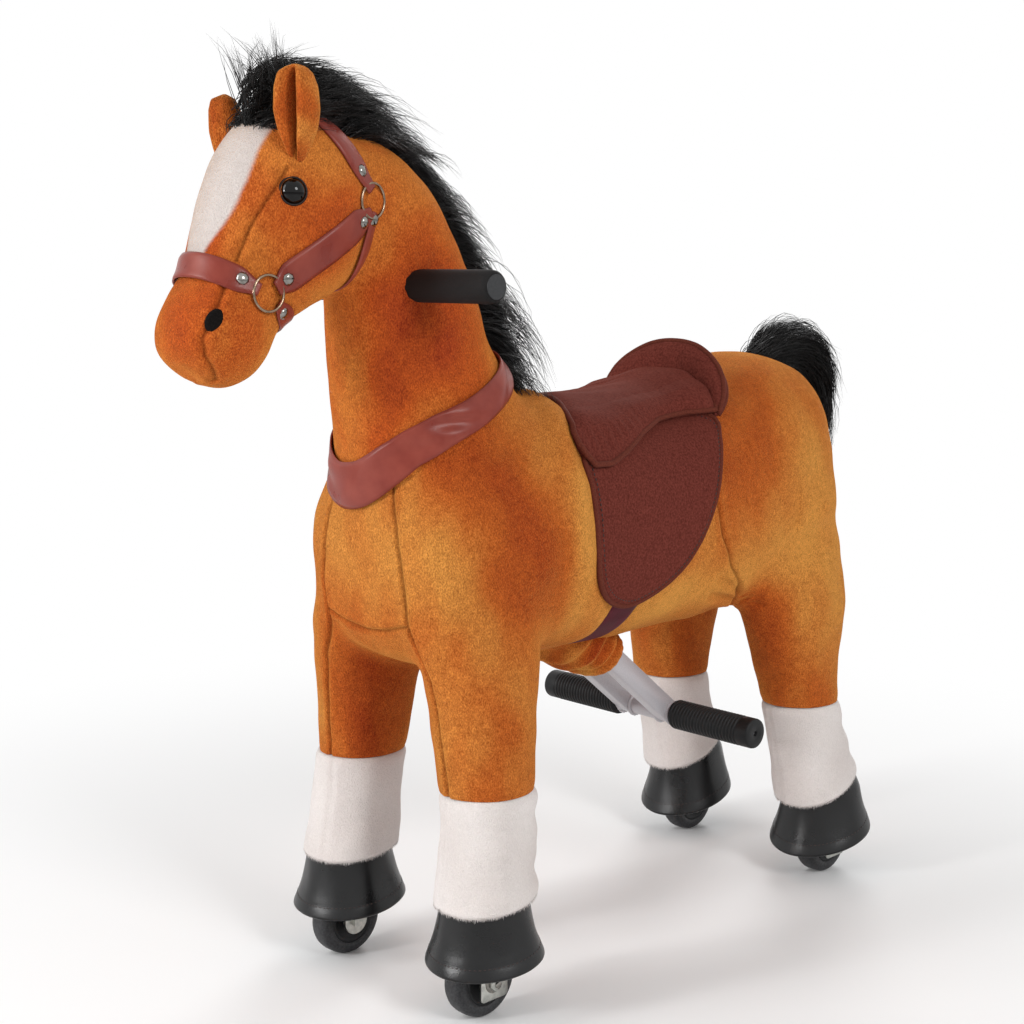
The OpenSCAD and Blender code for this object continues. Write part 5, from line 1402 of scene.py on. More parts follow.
# %% Cantle roll
u, w = np.linspace(0, 1, 60), np.linspace(-1, 1, 131)
U, W = np.meshgrid(u, w, indexing="ij")
mid_y = 130 - 30 * np.abs(w) ** 1.7
reach = np.interp(u, [0, 1], [-15, 36])
CANTLE_Y = mid_y[None, :] + reach[:, None] * (1 - 0.45 * np.abs(W) ** 2 - 0.4 * np.abs(W) ** 8)
CANTLE_TURN = W * turn_for_height(102, 550)
profile = np.interp(
    u, [0, 0.06, 0.16, 0.3, 0.44, 0.56, 0.68, 0.8, 0.9, 0.97, 1],
    [0.02, 0.34, 0.64, 0.86, 0.97, 1, 0.95, 0.8, 0.55, 0.25, 0.04],
)
profile = np.convolve(np.pad(profile, 2, mode="edge"), np.ones(5) / 5, "valid")
cantle_height = (6 + 34 * np.clip(1 - np.abs(W) ** 2.3, 0, 1) ** 0.75) * profile[:, None]
spots = on_barrel(CANTLE_Y, CANTLE_TURN).reshape(-1, 3)
cantle_height += 0.8 * waves(spots * [0.5, 1, 1], 32, 43).reshape(U.shape) * profile[:, None]
pleats = np.sin(W * 34 + 3 * U) * bell(U - 0.14, 0.1) * np.clip(1 - np.abs(W), 0, 1)
cantle_height += 1.6 * pleats
cantle, cantle_top = pad("cantle_roll", CANTLE_Y, CANTLE_TURN, np.maximum(cantle_height, 0.6), SUEDE)
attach(cantle, "front")
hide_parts("saddle_cantle")
print("cantle up to", round(float(cantle_height.max()), 1), "mm high")

# %% [markdown]
# ## Flaps
# A flap is a flat D of padded suede. Rings of its own outline, drawn smaller and smaller, make a clean grid for it.

# %% Flaps
FLAP = [
    [-128, 528], [-129, 500], [-128, 465], [-126, 432], [-121, 408], [-110, 391], [-92, 379], [-68, 373], [-42, 378],
    [-12, 391], [14, 410], [38, 438], [58, 472], [74, 505], [87, 530], [95, 552], [50, 568], [-30, 562], [-100, 545],
]


def closed_curve(points, count):
    """Evenly spaced points on a smooth closed curve."""
    ring_ = np.asarray(points, float)
    fine = []
    for i in range(len(ring_)):
        a, b, c, d = (ring_[(i + k) % len(ring_)] for k in (-1, 0, 1, 2))
        for t in np.linspace(0, 1, 12, endpoint=False):
            fine.append(between(a, b, c, d, t))
    fine = np.array(fine + [fine[0]])
    return spots_along(fine, np.linspace(0, walked(fine)[-1], count, endpoint=False))


FLAP_EDGE = closed_curve(FLAP, 160)
FLAP_MID = np.array([-28.0, 470.0])


def flap(side_name, sign):
    """A flap as rings of its outline, from its middle to its rounded edge, outside and inside."""
    shares = np.concatenate([np.linspace(0.04, 0.9, 26), [0.93, 0.955, 0.975, 0.99, 1.0]])
    flat_ = FLAP_MID + shares[:, None, None] * (FLAP_EDGE - FLAP_MID)
    y, z = flat_[..., 0], flat_[..., 1]
    edge = np.sqrt(np.clip(1 - np.clip((shares - 0.93) / 0.07, 0, 1) ** 2, 0, 1))[:, None]
    lift = 1.0 + 5.0 * edge + 0.5 * waves(np.stack([0 * y, y, z], -1).reshape(-1, 3), 70, 47).reshape(y.shape)
    x = barrel_side(y, z)
    outer_ = np.stack([sign * (x + lift), y, z], -1).reshape(-1, 3)
    inner_ = np.stack([sign * (x - 1.0), y, z], -1).reshape(-1, 3)
    count, sides = len(outer_), len(FLAP_EDGE)
    faces = grid_faces(len(shares), sides).tolist()
    faces += [[i + count for i in f[::-1]] for f in faces]
    faces.append(list(range(sides)))
    faces.append([i + count for i in range(sides)])
    last = np.arange(count - sides, count)
    faces += np.stack([last, np.roll(last, -1), np.roll(last, -1) + count, last + count], 1).tolist()
    made = make("flap_" + side_name, np.vstack([outer_, inner_]), faces, SUEDE)
    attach(made, "front")
    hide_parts("saddle_flap_" + side_name)


for side_name, sign in SIDES.items():
    flap(side_name, sign)
print("saddle sewn")

# %% [markdown]
# ## Piping and bound edges
# Piping is a cord in a strip of cloth, sewn along an edge. It is a round tube that follows the edge's points. A curve
# with a bevel would look the same; the tube is built here because rings and welds use it too.


# %% Tube along points
# No edge runs along this direction, so it gives every tube a sideways direction.
TUBE_SIDEWAYS = [0.31, 0.52, 0.79]


def tube(name, line, radius, sides, material, closed=False):
    """A round tube along millimetre points."""
    line = np.asarray(line, float)
    step = np.roll(line, -1, 0) - np.roll(line, 1, 0)
    if not closed:
        step[0], step[-1] = line[1] - line[0], line[-1] - line[-2]
    step = unit(step)
    up = unit(np.cross(step, TUBE_SIDEWAYS))
    across = np.cross(step, up)
    c, s_ = np.cos(angles(sides))[None, :, None], np.sin(angles(sides))[None, :, None]
    points = (line[:, None] + radius * (c * up[:, None] + s_ * across[:, None])).reshape(-1, 3)
    rows = len(line)
    faces = grid_faces(rows, sides).tolist()
    if closed:
        first, last = np.arange(sides), np.arange(sides) + (rows - 1) * sides
        faces += np.stack([last, np.roll(last, -1), np.roll(first, -1), first], 1).tolist()
    else:
        points, faces = close_ends(points, faces, sides)
    return make(name, points, faces, material)


# %% Piping of the saddle
pipes = []
for sign in SIDES.values():
    y, z = FLAP_EDGE.T
    edge = np.stack([sign * (barrel_side(y, z) + 3.4), y, z], 1)
    pipes.append(tube("pipe", edge, 3.0, 10, PIPING_CLOTH, True))
seat_rim = rim_of(seat_top)
pipes.append(tube("pipe", seat_rim + 1.2 * (seat_rim - [0, 0, BARREL_MID_Z]) / 130, 3.0, 10, PIPING_CLOTH, True))
# The cantle has one pipe along its ridge and one along its rear edge.
for row in (int(0.6 * (len(cantle_top) - 1)), -2):
    pipes.append(tube("pipe", cantle_top[row] + [0, 0, 0.8], 2.8, 10, PIPING_CLOTH))
piping = join("saddle_piping", pipes)
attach(piping, "front")
print("piping", len(piping.data.vertices), "points")

# %% [markdown]
# ## Straps
# The halter, collar and girth are bands of imitation leather that lie on the plush. Halter and collar are found by
# shooting rays at the skin, so their rows follow whatever is under them; the girth follows the barrel's own form.


# %% Bands that lie on a skin
X = np.array([1.0, 0, 0])


def even(rows, closed, rounds):
    """Leather bridges small hollows, so rows of points are evened out along and across."""
    for _ in range(rounds):
        if closed:
            rows = 0.5 * rows + 0.25 * (np.roll(rows, 1, 0) + np.roll(rows, -1, 0))
        else:
            rows[1:-1] = 0.5 * rows[1:-1] + 0.25 * (rows[2:] + rows[:-2])
    rows[:, 1:-1] = 0.5 * rows[:, 1:-1] + 0.25 * (rows[:, 2:] + rows[:, :-2])
    return rows


def ribbon(name, rows, lift, thick, material, inside, closed=False):
    """A strap with rounded edges on rows of skin points; inside is a place the strap faces away from."""
    along_ = np.roll(rows, -1, 0) - np.roll(rows, 1, 0)
    if not closed:
        along_[0], along_[-1] = rows[1] - rows[0], rows[-1] - rows[-2]
    out = unit(np.cross(along_, np.gradient(rows, axis=1)))
    out *= np.sign((out * (rows - np.asarray(inside))).sum(-1).mean())
    count, cols = rows.shape[0] * rows.shape[1], rows.shape[1]
    edge = thick * (0.5 + 0.5 * np.sqrt(1 - np.abs(np.linspace(-1, 1, cols)) ** 5))
    low = rows + out * (np.broadcast_to(lift, rows.shape[:2])[..., None])
    high = low + out * edge[None, :, None]
    index = np.arange(count).reshape(-1, cols)
    here, there = (index, np.roll(index, -1, 0)) if closed else (index[:-1], index[1:])
    top = np.stack([here[:, :-1], there[:, :-1], there[:, 1:], here[:, 1:]], -1).reshape(-1, 4)
    faces = top.tolist() + (top[:, ::-1] + count).tolist()
    for col in (0, cols - 1):
        faces += np.stack([here[:, col], there[:, col], there[:, col] + count, here[:, col] + count], 1).tolist()
    if not closed:
        for row in (0, -1):
            ends = [index[row, :-1], index[row, 1:], index[row, 1:] + count, index[row, :-1] + count]
            faces += np.stack(ends, 1).tolist()
    return make(name, np.vstack([high.reshape(-1, 3), low.reshape(-1, 3)]), faces, material)


# %% Rows and shapes of straps
def shot(tree, start, direction):
    """Where a ray meets a skin, in millimetres, or nothing."""
    hit = tree.ray_cast(Vector(to_frame(start)), Vector(direction))
    return None if hit[0] is None else from_frame(hit[0])


def round_rows(tree, centre, second, degrees, widths, cols=9):
    """Rows round a form: angles in the plane of +X and second, across it as wide as given."""
    normal = np.cross(X, second)
    rows = []
    for a, width in zip(np.radians(degrees), widths):
        ray = math.cos(a) * X + math.sin(a) * np.asarray(second)
        across_ = np.linspace(-0.5, 0.5, cols) * width
        rows.append([shot(tree, centre + o * normal + 250 * ray, -ray) for o in across_])
    return np.array(rows)


def tapered(count, width, end, share):
    """Widths along a strap that narrows to its end loops."""
    t = np.linspace(0, 1, count)
    near = np.clip(np.minimum(t, 1 - t) / share, 0, 1)
    return end + (width - end) * near * near * (3 - 2 * near)


def looped(count, lift):
    """Lifts along a strap whose ends turn over a ring."""
    row = np.arange(count)
    return (lift + 2.2 * bell(np.minimum(row, count - 1 - row), 3.5))[:, None]


def head_spot(s_, e_):
    """A place in the head's middle plane, along its slope and above its middle line."""
    return HEAD_MID + s_ * SLOPE + e_ * BROW


# %% [markdown]
# ## Halter
# The noseband with its chin strap, and the headstall with its throat strap, each go half round the head from ring to
# ring. Their ends narrow and turn over the wire, so one function shoots a half hoop with narrowed, lifted ends.


# %% Noseband and headstall
NOSE_RING, CHEEK_RING, RING_R = (105, -2), (-25, -38), 15.5
STRAP_THICK = 2.4


def hoop(name, tree, middle, second, degrees, shape, lift, rounds):
    """A strap round the head between two angles; shape is its width, its width at the ends and their share."""
    rows = round_rows(tree, middle, second, degrees, tapered(len(degrees), *shape))
    return ribbon(
        name, even(rows, False, rounds), looped(len(degrees), lift), STRAP_THICK, STRAP_LEATHER, middle
    )


nose_mid, poll_mid, throat_mid = head_spot(107, -4), head_spot(-36, -15), head_spot(4, -65)
nose_up, chin_up = unit(head_spot(115, 48) - nose_mid), unit(nose_mid - head_spot(103, -54))
poll_up = unit(head_spot(-57, 45) - head_spot(-27, -40))
throat_up = unit(head_spot(-27, -40) - head_spot(36, -90))
noseband = join("noseband_and_chin_strap", [
    hoop("nose", head_tree, nose_mid, nose_up, np.linspace(14, 166, 70), (23, 12, 0.16), 1.4, 3),
    hoop("chin", head_tree, nose_mid, chin_up, np.linspace(-14, -166, 70), (19, 11, 0.16), 1.4, 3),
])
headstall = join("headstall_and_throat_strap", [
    hoop("poll", face_tree, poll_mid, poll_up, np.linspace(-17, 197, 90), (22, 12, 0.14), 1.0, 4),
    hoop("throat", head_tree, throat_mid, throat_up, np.linspace(31, -211, 90), (20, 11, 0.14), 1.4, 4),
])
for strap, node in ((noseband, "noseband"), (headstall, "headstall")):
    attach(strap, "steering")
    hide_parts(node)
    print(strap.name, len(strap.data.vertices), "points")


# %% [markdown]
# ## Cheek straps
# They run straight in the side view, from ring to ring, so their rays come from the side.


# %% Cheek straps
def cheek_strap(sign):
    """A strap from the nose ring to the cheek ring, laid on the skin in the side view."""
    start_, end_ = np.array([96.5, -6.4]), np.array([-15.0, -42.6])
    along_ = unit(end_ - start_)
    across_ = np.array([-along_[1], along_[0]])
    length = np.linalg.norm(end_ - start_)
    widths = tapered(60, 28, 13, 0.16)
    rows = []
    for t, width in zip(np.linspace(0, length, 60), widths):
        offs = np.linspace(-0.5, 0.5, 9)
        rows.append([on_head(*(start_ + t * along_ + o * width * across_), sign)[0] for o in offs])
    return ribbon("cheek", even(np.array(rows), False, 3), looped(60, 0.6), STRAP_THICK, STRAP_LEATHER, HEAD_MID)


cheeks = join("cheek_strap_pair", [cheek_strap(sign) for sign in SIDES.values()])
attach(cheeks, "steering")
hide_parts("cheek_straps")
print("cheek straps", len(cheeks.data.vertices), "points")


# %% [markdown]
# ## Collar
# The collar hides the slit where the neck turns on the chest. It is a loose strap with folds, and stays with the chest.


# %% Collar
COLLAR_HIGH = [
    [-180, -135, -105, -85, -65, -44, -20, 10, 40, 90, 180], [5, 5, -3, 1, 12, 19, 20, 14, 11, 8, 5],
]


def collar_rows(count):
    """Rows of points round the foot of the neck, on the neck or on the chest, whichever is farther out."""
    rows = []
    for a in np.linspace(0, 2 * math.pi, count, endpoint=False):
        ray = math.cos(a) * X + math.sin(a) * COLLAR_BACK
        # The loose strap hangs askew: high on the left shoulder, low in front.
        at = (math.degrees(a) + 180) % 360 - 180
        width = np.interp(at, [-180, -135, -100, -70, -44, 0, 40, 90, 180], [31, 35, 42, 40, 34, 30, 28, 26, 31])
        high = np.interp(at, *COLLAR_HIGH)
        row = []
        for o in np.linspace(0, 1, 11):
            start = STEER_FOOT + (7 + high - o * width) * COLLAR_UP
            neck_hit, body_hit = (shot(t_, start + 300 * ray, -ray) for t_ in (neck_tree, body_tree))
            r_neck = (neck_hit - start) @ ray
            r_body = r_neck if body_hit is None else (body_hit - start) @ ray
            row.append(start + (r_neck + np.clip(r_body - r_neck, 0, 16)) * ray)
        rows.append(row)
    return even(np.array(rows), True, 6)


# %% Slack of the collar
collar_under = collar_rows(180)
turn = np.linspace(0, 2 * math.pi, 180, endpoint=False)[:, None]
across = np.linspace(0, 1, 11)[None, :]
slack = 2.2 + 1.6 * np.sin(3 * turn + 0.7) * np.sin(math.pi * across)
slack = slack + 1.5 * np.sin(9 * turn + 5 * across) * np.sin(math.pi * across) * (0.5 + 0.5 * np.sin(2 * turn))
off = (turn + math.pi) % (2 * math.pi) - math.pi
slack = slack + 2.6 * bell(off + 0.25, 0.35) * np.sin(7 * across - 9 * off) * np.sin(math.pi * across)
collar = ribbon("neck_collar_band", collar_under, slack, 2.6, STRAP_LEATHER, STEER_FOOT - 21 * AXIS_UP, True)
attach(collar, "front")
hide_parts("neck_collar")
print("collar", len(collar.data.vertices), "points")

# %% [markdown]
# ## Girth
# The girth holds the saddle from below and sinks into the belly. Its lower end lies a little forwards.

# %% Girth
GIRTH_Y, GIRTH_Z, GIRTH_SLANT, GIRTH_HALF, LEVER_ROOM = -64.0, 376, 0.12, 22, 42
rows = []
for turn in np.radians(np.linspace(100, 260, 90)):
    row = []
    for o in np.linspace(-GIRTH_HALF, GIRTH_HALF, 11):
        y = GIRTH_Y
        for _ in range(6):
            z = float(on_barrel(np.array([y]), np.array([turn]))[0, 2])
            y = GIRTH_Y + (z - GIRTH_Z) * GIRTH_SLANT + o
        spot = on_barrel(np.array([y]), np.array([turn]))[0]
        toward = unit(np.array([0, y, BARREL_MID_Z]) - spot)
        row.append(spot + 5.5 * toward * np.clip((400 - z) / 40, 0, 1))
    rows.append(row)
rows = np.array(rows)
# The two halves end inside the sleeve, so the pedal lever swings free between them.
halves = [rows[sign * rows[:, 5, 0] > LEVER_ROOM] for sign in SIDES.values()]
girth_mid = [0, -70, BARREL_MID_Z]
girth = join("girth_band", [ribbon("half", half, 1.2, STRAP_THICK, GIRTH_LEATHER, girth_mid) for half in halves])
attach(girth, "front")
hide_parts("girth_strap")
print("girth halves", len(halves), "straps laid")

# %% [markdown]
# ## Things set in rows
# Stitches, rivets and the like repeat, so Geometry Nodes set one small rounded body on every point of a row.
# Each point carries the way the thread runs and the way the surface faces.


# %% Helpers for Geometry Nodes
def start_tree(name, setting, kind):
    """A Geometry Nodes tree with one named setting: the tree, its input node and the setting's key."""
    tree = bpy.data.node_groups.new(name, "GeometryNodeTree")
    tree.interface.new_socket("Geometry", in_out="INPUT", socket_type="NodeSocketGeometry")
    key = tree.interface.new_socket(setting, in_out="INPUT", socket_type=kind).identifier
    tree.interface.new_socket("Geometry", in_out="OUTPUT", socket_type="NodeSocketGeometry")
    return tree, add(tree, "NodeGroupInput"), key


def carried(tree, key):
    """The vectors that the points carry under a name."""
    return add(tree, "GeometryNodeInputNamedAttribute", {"Name": key}, data_type="FLOAT_VECTOR").outputs[0]


def end_tree(tree, shape, material):
    """The finish of what a tree makes, and its way out."""
    painted = add(tree, "GeometryNodeSetMaterial", {"Geometry": shape, "Material": material})
    add(tree, "NodeGroupOutput", {0: painted.outputs[0]})


def run_tree(made, tree, key, value, vectors):
    """Gives points their vectors, runs a tree on them and keeps the plain mesh."""
    for name, values in vectors.items():
        layer = made.data.attributes.new(name, "FLOAT_VECTOR", "POINT")
        layer.data.foreach_set("vector", np.asarray(values, np.float32).ravel())
    modifier = made.modifiers.new("tree", "NODES")
    modifier.node_group = tree
    modifier[key] = value
    return settle(made)


# %% Small bodies in a row
def setting_tree(material):
    """One small ball on every point, turned as the point says and stretched to a size."""
    tree, source, key = start_tree("set_" + material.name, "Half size", "NodeSocketVector")
    ball = add(tree, "GeometryNodeMeshUVSphere", {"Segments": 8, "Rings": 5, "Radius": 1.0})
    first = add(tree, "FunctionNodeAlignRotationToVector", {"Vector": carried(tree, "facing")}, axis="Z")
    second = add(
        tree, "FunctionNodeAlignRotationToVector",
        {"Rotation": first.outputs[0], "Vector": carried(tree, "running")}, axis="X", pivot_axis="Z",
    )
    placed = add(
        tree, "GeometryNodeInstanceOnPoints",
        {
            "Points": source.outputs["Geometry"], "Instance": ball.outputs["Mesh"], "Rotation": second.outputs[0],
            "Scale": source.outputs["Half size"],
        },
    )
    real = add(tree, "GeometryNodeRealizeInstances", {"Geometry": placed.outputs[0]})
    end_tree(tree, real.outputs[0], material)
    return tree, key


def set_row(name, points, facing, running, half_size, material):
    """Small rounded bodies on points, all in millimetres."""
    made = make(name, points, [], material, outward=False)
    half = [v / 1000 for v in half_size]
    refinish(run_tree(made, *setting_tree(material), half, {"facing": facing, "running": running}), material)
    print(name, len(points), "set")
    return made


# %% [markdown]
# ## Rivets and rings
# Dome rivets close the strap loops round four wire rings. The rivets are the tree's balls, pressed flat; each ring is
# a thin tube that stands a little off the skin.

# %% Rivets and rings of the halter
RIVETS = [(109.5, 23), (83, -10), (106, -27), (-3, -40), (-36, -12), (-14, -50)]
spots, outs = [], []
for sign in SIDES.values():
    for s_, e_ in RIVETS:
        spot, out = on_head(s_, e_, sign)
        spots.append(spot + 3.0 * out)
        outs.append(out)
rivets = set_row("halter_rivet_set", spots, outs, np.tile([0, 0.6, 0.8], (len(spots), 1)), (6.0, 6.0, 3.0), NICKEL)
ring_parts = []
for sign in SIDES.values():
    for s_, e_ in (NOSE_RING, CHEEK_RING):
        spot, out = on_head(s_, e_, sign)
        side_ = unit(np.cross(out, [0, 0.3, 1]))
        up_ = np.cross(side_, out)
        a = angles(48)[:, None]
        loop = spot + 3.2 * out + RING_R * (np.cos(a) * side_ + np.sin(a) * up_)
        ring_parts.append(tube("ring", loop, 1.3, 10, RING_WIRE, True))
rings = join("halter_ring_set", ring_parts)
for piece, node in ((rivets, "halter_rivets"), (rings, "halter_rings")):
    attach(piece, "steering")
    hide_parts(node)
print("rings", len(ring_parts))


# %% [markdown]
# ## Stitches
# A lockstitch shows as a row of short threads, each sunk a little at both ends. One ball of the tree, stretched along
# the seam, is one stitch.


# %% Places along a seam
def along_rows(line, gap):
    """Points every gap millimetres along a closed line, with the way it runs there."""
    line = np.vstack([line, line[:1]])
    length = walked(line)[-1]
    at = np.arange(0, length, gap)
    spots_ = spots_along(line, at)
    return spots_, spots_along(line, (at + 1) % length) - spots_


# %% Stitches of the flaps
spots, runs, outs = [], [], []
y, z = (FLAP_MID + 0.945 * (FLAP_EDGE - FLAP_MID)).T
for sign in SIDES.values():
    spot, run = along_rows(np.stack([sign * (barrel_side(y, z) + 6.2), y, z], 1), 5.0)
    spots.append(spot)
    runs.append(run)
    outs.append(np.tile([sign, 0, 0.15], (len(spot), 1)))
seams_ = set_row(
    "flap_stitches", np.vstack(spots), np.vstack(outs), np.vstack(runs), (1.7, 0.55, 0.5), THREAD
)
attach(seams_, "front")

# %% Stitches of the hooves
for body_name in ("front", "rear"):
    spots, runs, outs = [], [], []
    for key, line in hoof_lines.items():
        if LEGS[key][3] == body_name:
            spot, run = along_rows(line, 4.6)
            out = unit(spot - line.mean(0))
            spots.append(spot + 0.15 * out)
            runs.append(run)
            outs.append(out + [0, 0, 0.6])
    row = set_row(
        body_name + "_hoof_stitches", np.vstack(spots), np.vstack(outs), np.vstack(runs), (1.5, 0.55, 0.45), THREAD
    )
    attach(row, body_name)
print("stitches sewn")

# %% [markdown]
# ## Pedal lever
# Two flat-sided tubes come down from the pivot and are welded to a round foot bar, then painted silver grey. The
# parts inside the body are plain plates.

# %% Pedal lever
SLANT, LEVER_L = math.atan2(LEVER_DOWN, LEVER_BACK), math.hypot(LEVER_DOWN, LEVER_BACK)
PIVOT = np.array([0, PEDAL_Y, PEDAL_Z])
lever = np.array([0, math.cos(SLANT), -math.sin(SLANT)])
lever_up = np.array([0, math.sin(SLANT), math.cos(SLANT)])
TUBE_IN, TUBE_OUT, ROOT_OUT = 20, 36, 28


def on_lever(share):
    """A place in the side view at a share of the way from the pivot to the foot bar."""
    return (PIVOT + share * LEVER_L * lever)[1:]


bar = [(0.02, -148), (11, -148), (11, 148), (0.02, 148)]
parts = [make("bar", *spin(bar, 48, FOOT_BAR, [1, 0, 0]), SILVER_PAINT)]
turns = angles(40)
bead = 11.4 + 0.5 * np.sin(17 * turns)
for sign in SIDES.values():
    for name, outline, outer, chamfer in (
        ("arm", rounded_box(on_lever(0.58), [0.43 * LEVER_L, 12], 6, -SLANT), TUBE_OUT, 2.2),
        ("root", rounded_box(on_lever(0.16), [0.22 * LEVER_L, 12], 5, -SLANT), ROOT_OUT, 0.8),
        ("crank", rounded_box([PEDAL_Y, PEDAL_Z + 25], [8, 33], 6), ROOT_OUT, 0.8),
    ):
        parts.append(plate(name, outline, sign * TUBE_IN, sign * outer, chamfer, SILVER_PAINT))
    for x_at in (TUBE_IN - 0.4, TUBE_OUT + 0.4):
        y, z = FOOT_BAR[1] + bead * np.cos(turns), FOOT_BAR[2] + bead * np.sin(turns)
        loop = np.stack([np.full(len(turns), sign * x_at), y, z], 1)
        parts.append(tube("weld", loop, 2.4, 8, SILVER_PAINT, True))
lever_piece = join("pedal_lever_tubes", parts)
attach(lever_piece, "pedal")
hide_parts("pedal_lever")
print("pedal lever", len(parts), "parts")

# %% [markdown]
# ## Pedal sleeve
# A short sleeve of plush is sewn to the belly and gathered by elastic round the two lever tubes.

# %% Pedal sleeve
SLEEVE_SIDES, SLEEVE_ROWS = 144, 80
a = angles(SLEEVE_SIDES)
rows = []
for k, d in enumerate(np.linspace(22, 104, SLEEVE_ROWS)):
    t = k / (SLEEVE_ROWS - 1)
    # The cloth is pushed up into rolls that lie round the lever, and ends in a thick gathered hem.
    bunch = np.clip((t - 0.05) * 6, 0, 1) * np.clip((0.84 - t) * 8, 0, 1)
    rolls = 0.075 * bunch * np.sin(2 * math.pi * 4.2 * t + 1.4 * np.sin(a + 0.6) + 0.7 * np.sin(2 * a + 2))
    hem = bell(t - 0.925, 0.06)
    pleats = 0.01 * hem * np.sin(a * 22) + 0.02 * bunch * np.sin(a * 7 + 9 * t)
    neck_in = 0.1 * bell(t - 0.83, 0.035) + 0.3 * np.clip((t - 0.96) / 0.04, 0, 1) ** 2
    size = 1.02 + 0.1 * math.sin(math.pi * t) + rolls + 0.06 * hem + pleats - neck_in
    ux = 43 * size * squarer(np.cos(a), 0.85)
    # Its underside hangs slack before the hem gathers it.
    slack = np.where(np.sin(a) < 0, 9 * math.sin(math.pi * min(t / 0.85, 1)) ** 2, 0)
    uz = (27 + slack) * size * squarer(np.sin(a), 0.85)
    rows.append(PIVOT + d * lever + ux[:, None] * X + uz[:, None] * lever_up)
last = rows[-1]
middle = last.mean(0)
rows.append(middle + (last - middle) * 0.86 - 5 * lever)
rows.append(middle + (last - middle) * 0.8 - 26 * lever)
points = np.vstack(rows)
sleeve = make("pedal_sleeve_plush", points, grid_faces(len(rows), SLEEVE_SIDES), BROWN_PLUSH)
paint(sleeve, "nap", 0.5 + 0.2 * waves(points, 40, 95))
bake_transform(sleeve)
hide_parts("pedal_sleeve")
print("sleeve", len(points), "points")

# %% [markdown]
# ## Hair
# Mane and tail are long-pile fur, and the socks end in a short fringe. Blender's own hair would not leave with the
# model, so a Geometry Nodes tree grows one tapered strand of plain mesh from every root: its vectors say where it
# points, how it bends and how it sways, and one setting says how thick it is.


# %% Strand tree
def maths(tree, operation, a, b=0.0):
    """One sum in a tree."""
    return add(tree, "ShaderNodeMath", {0: a, 1: b}, operation=operation).outputs[0]


def strand_tree(material, segments, sides):
    """One tapered strand from every point: straight along reach, bent by bend and swayed by curl."""
    tree, source, key = start_tree("strands_" + material.name, "Strand radius", "NodeSocketFloat")
    straight = add(tree, "GeometryNodeCurvePrimitiveLine", {"End": (0, 0, 1)})
    divided = add(tree, "GeometryNodeResampleCurve", {"Curve": straight.outputs[0], "Count": segments + 1})
    roots = {"Points": source.outputs["Geometry"], "Instance": divided.outputs[0]}
    grown = add(tree, "GeometryNodeInstanceOnPoints", roots)
    real = add(tree, "GeometryNodeRealizeInstances", {"Geometry": grown.outputs[0]})
    at = add(tree, "GeometryNodeSplineParameter").outputs["Factor"]
    here = add(tree, "GeometryNodeInputPosition").outputs[0]
    up = add(tree, "ShaderNodeCombineXYZ", {"Z": at}).outputs[0]
    total = add(tree, "ShaderNodeVectorMath", {0: here, 1: up}, operation="SUBTRACT").outputs[0]
    square = maths(tree, "MULTIPLY", at, at)
    sway = maths(tree, "MULTIPLY", maths(tree, "SINE", maths(tree, "MULTIPLY", at, 7.0)), at)
    for name, amount in (("reach", at), ("bend", square), ("curl", sway)):
        part = add(tree, "ShaderNodeVectorMath", {0: carried(tree, name), "Scale": amount}, operation="SCALE")
        total = add(tree, "ShaderNodeVectorMath", {0: total, 1: part.outputs[0]}, operation="ADD").outputs[0]
    placed = add(tree, "GeometryNodeSetPosition", {"Geometry": real.outputs[0], "Position": total})
    left = maths(tree, "MAXIMUM", maths(tree, "SUBTRACT", 1.0, square), 0.06)
    thick = maths(tree, "MULTIPLY", left, source.outputs["Strand radius"])
    tapered = add(tree, "GeometryNodeSetCurveRadius", {"Curve": placed.outputs[0], "Radius": thick})
    profile = add(tree, "GeometryNodeCurvePrimitiveCircle", {"Resolution": sides, "Radius": 1.0})
    solid = add(tree, "GeometryNodeCurveToMesh", {"Curve": tapered.outputs[0], "Profile Curve": profile.outputs[0]})
    if "Scale" in solid.inputs:
        tree.links.new(thick, solid.inputs["Scale"])
    end_tree(tree, solid.outputs[0], material)
    return tree, key


def strands(name, roots, reach, bend, curl, radius, material, segments=5, sides=3):
    """A mesh of strands: roots in millimetres of the pattern, the other vectors in millimetres too."""
    made = make(name, roots, [], material, outward=False)
    vectors = {"reach": reach / 1000, "bend": bend / 1000, "curl": curl / 1000}
    run_tree(made, *strand_tree(material, segments, sides), radius / 1000, vectors)
    if material == WHITE_PLUSH:
        paint(made, "nap", np.full(len(made.data.vertices), 0.62))
    print(name, "strands", len(roots), "triangles", sum(len(q.vertices) - 2 for q in made.data.polygons))
    return made


# %% [markdown]
# ## Tufts
# Fur hangs in tufts whose fibres start apart and meet at the tip. Each tuft is told a root, a place half way and a
# tip, and a parabola through the three gives the reach and the bend of its strands.


# %% Tufts
def tufts(roots, middles, tips, each, spread, seed):
    """Strands in tufts: each tuft has a root, a place half way and a tip, and its strands meet at the tip."""
    rng = np.random.default_rng(seed)
    pick = np.repeat(np.arange(len(roots)), each)
    root = roots[pick] + rng.normal(0, spread, (len(pick), 3))
    length = np.linalg.norm(tips - roots, axis=1)[pick][:, None]
    middle = middles[pick] + rng.normal(0, 1, (len(pick), 3)) * 0.05 * length
    short = rng.uniform(0.72, 1.06, (len(pick), 1))
    tip = tips[pick] + rng.normal(0, 1, (len(pick), 3)) * 0.05 * length
    bend = 2 * (tip - 2 * middle + root)
    reach = tip - root - bend
    curl = rng.normal(0, 1, (len(pick), 3)) * 0.012 * length
    return root, reach * short, bend * short**2, curl


def along_curve(points, t):
    """Places at shares t of a polyline's length."""
    return spots_along(points, t * walked(points)[-1])


# %% A coat of tufts
COAT_SIDES = 48


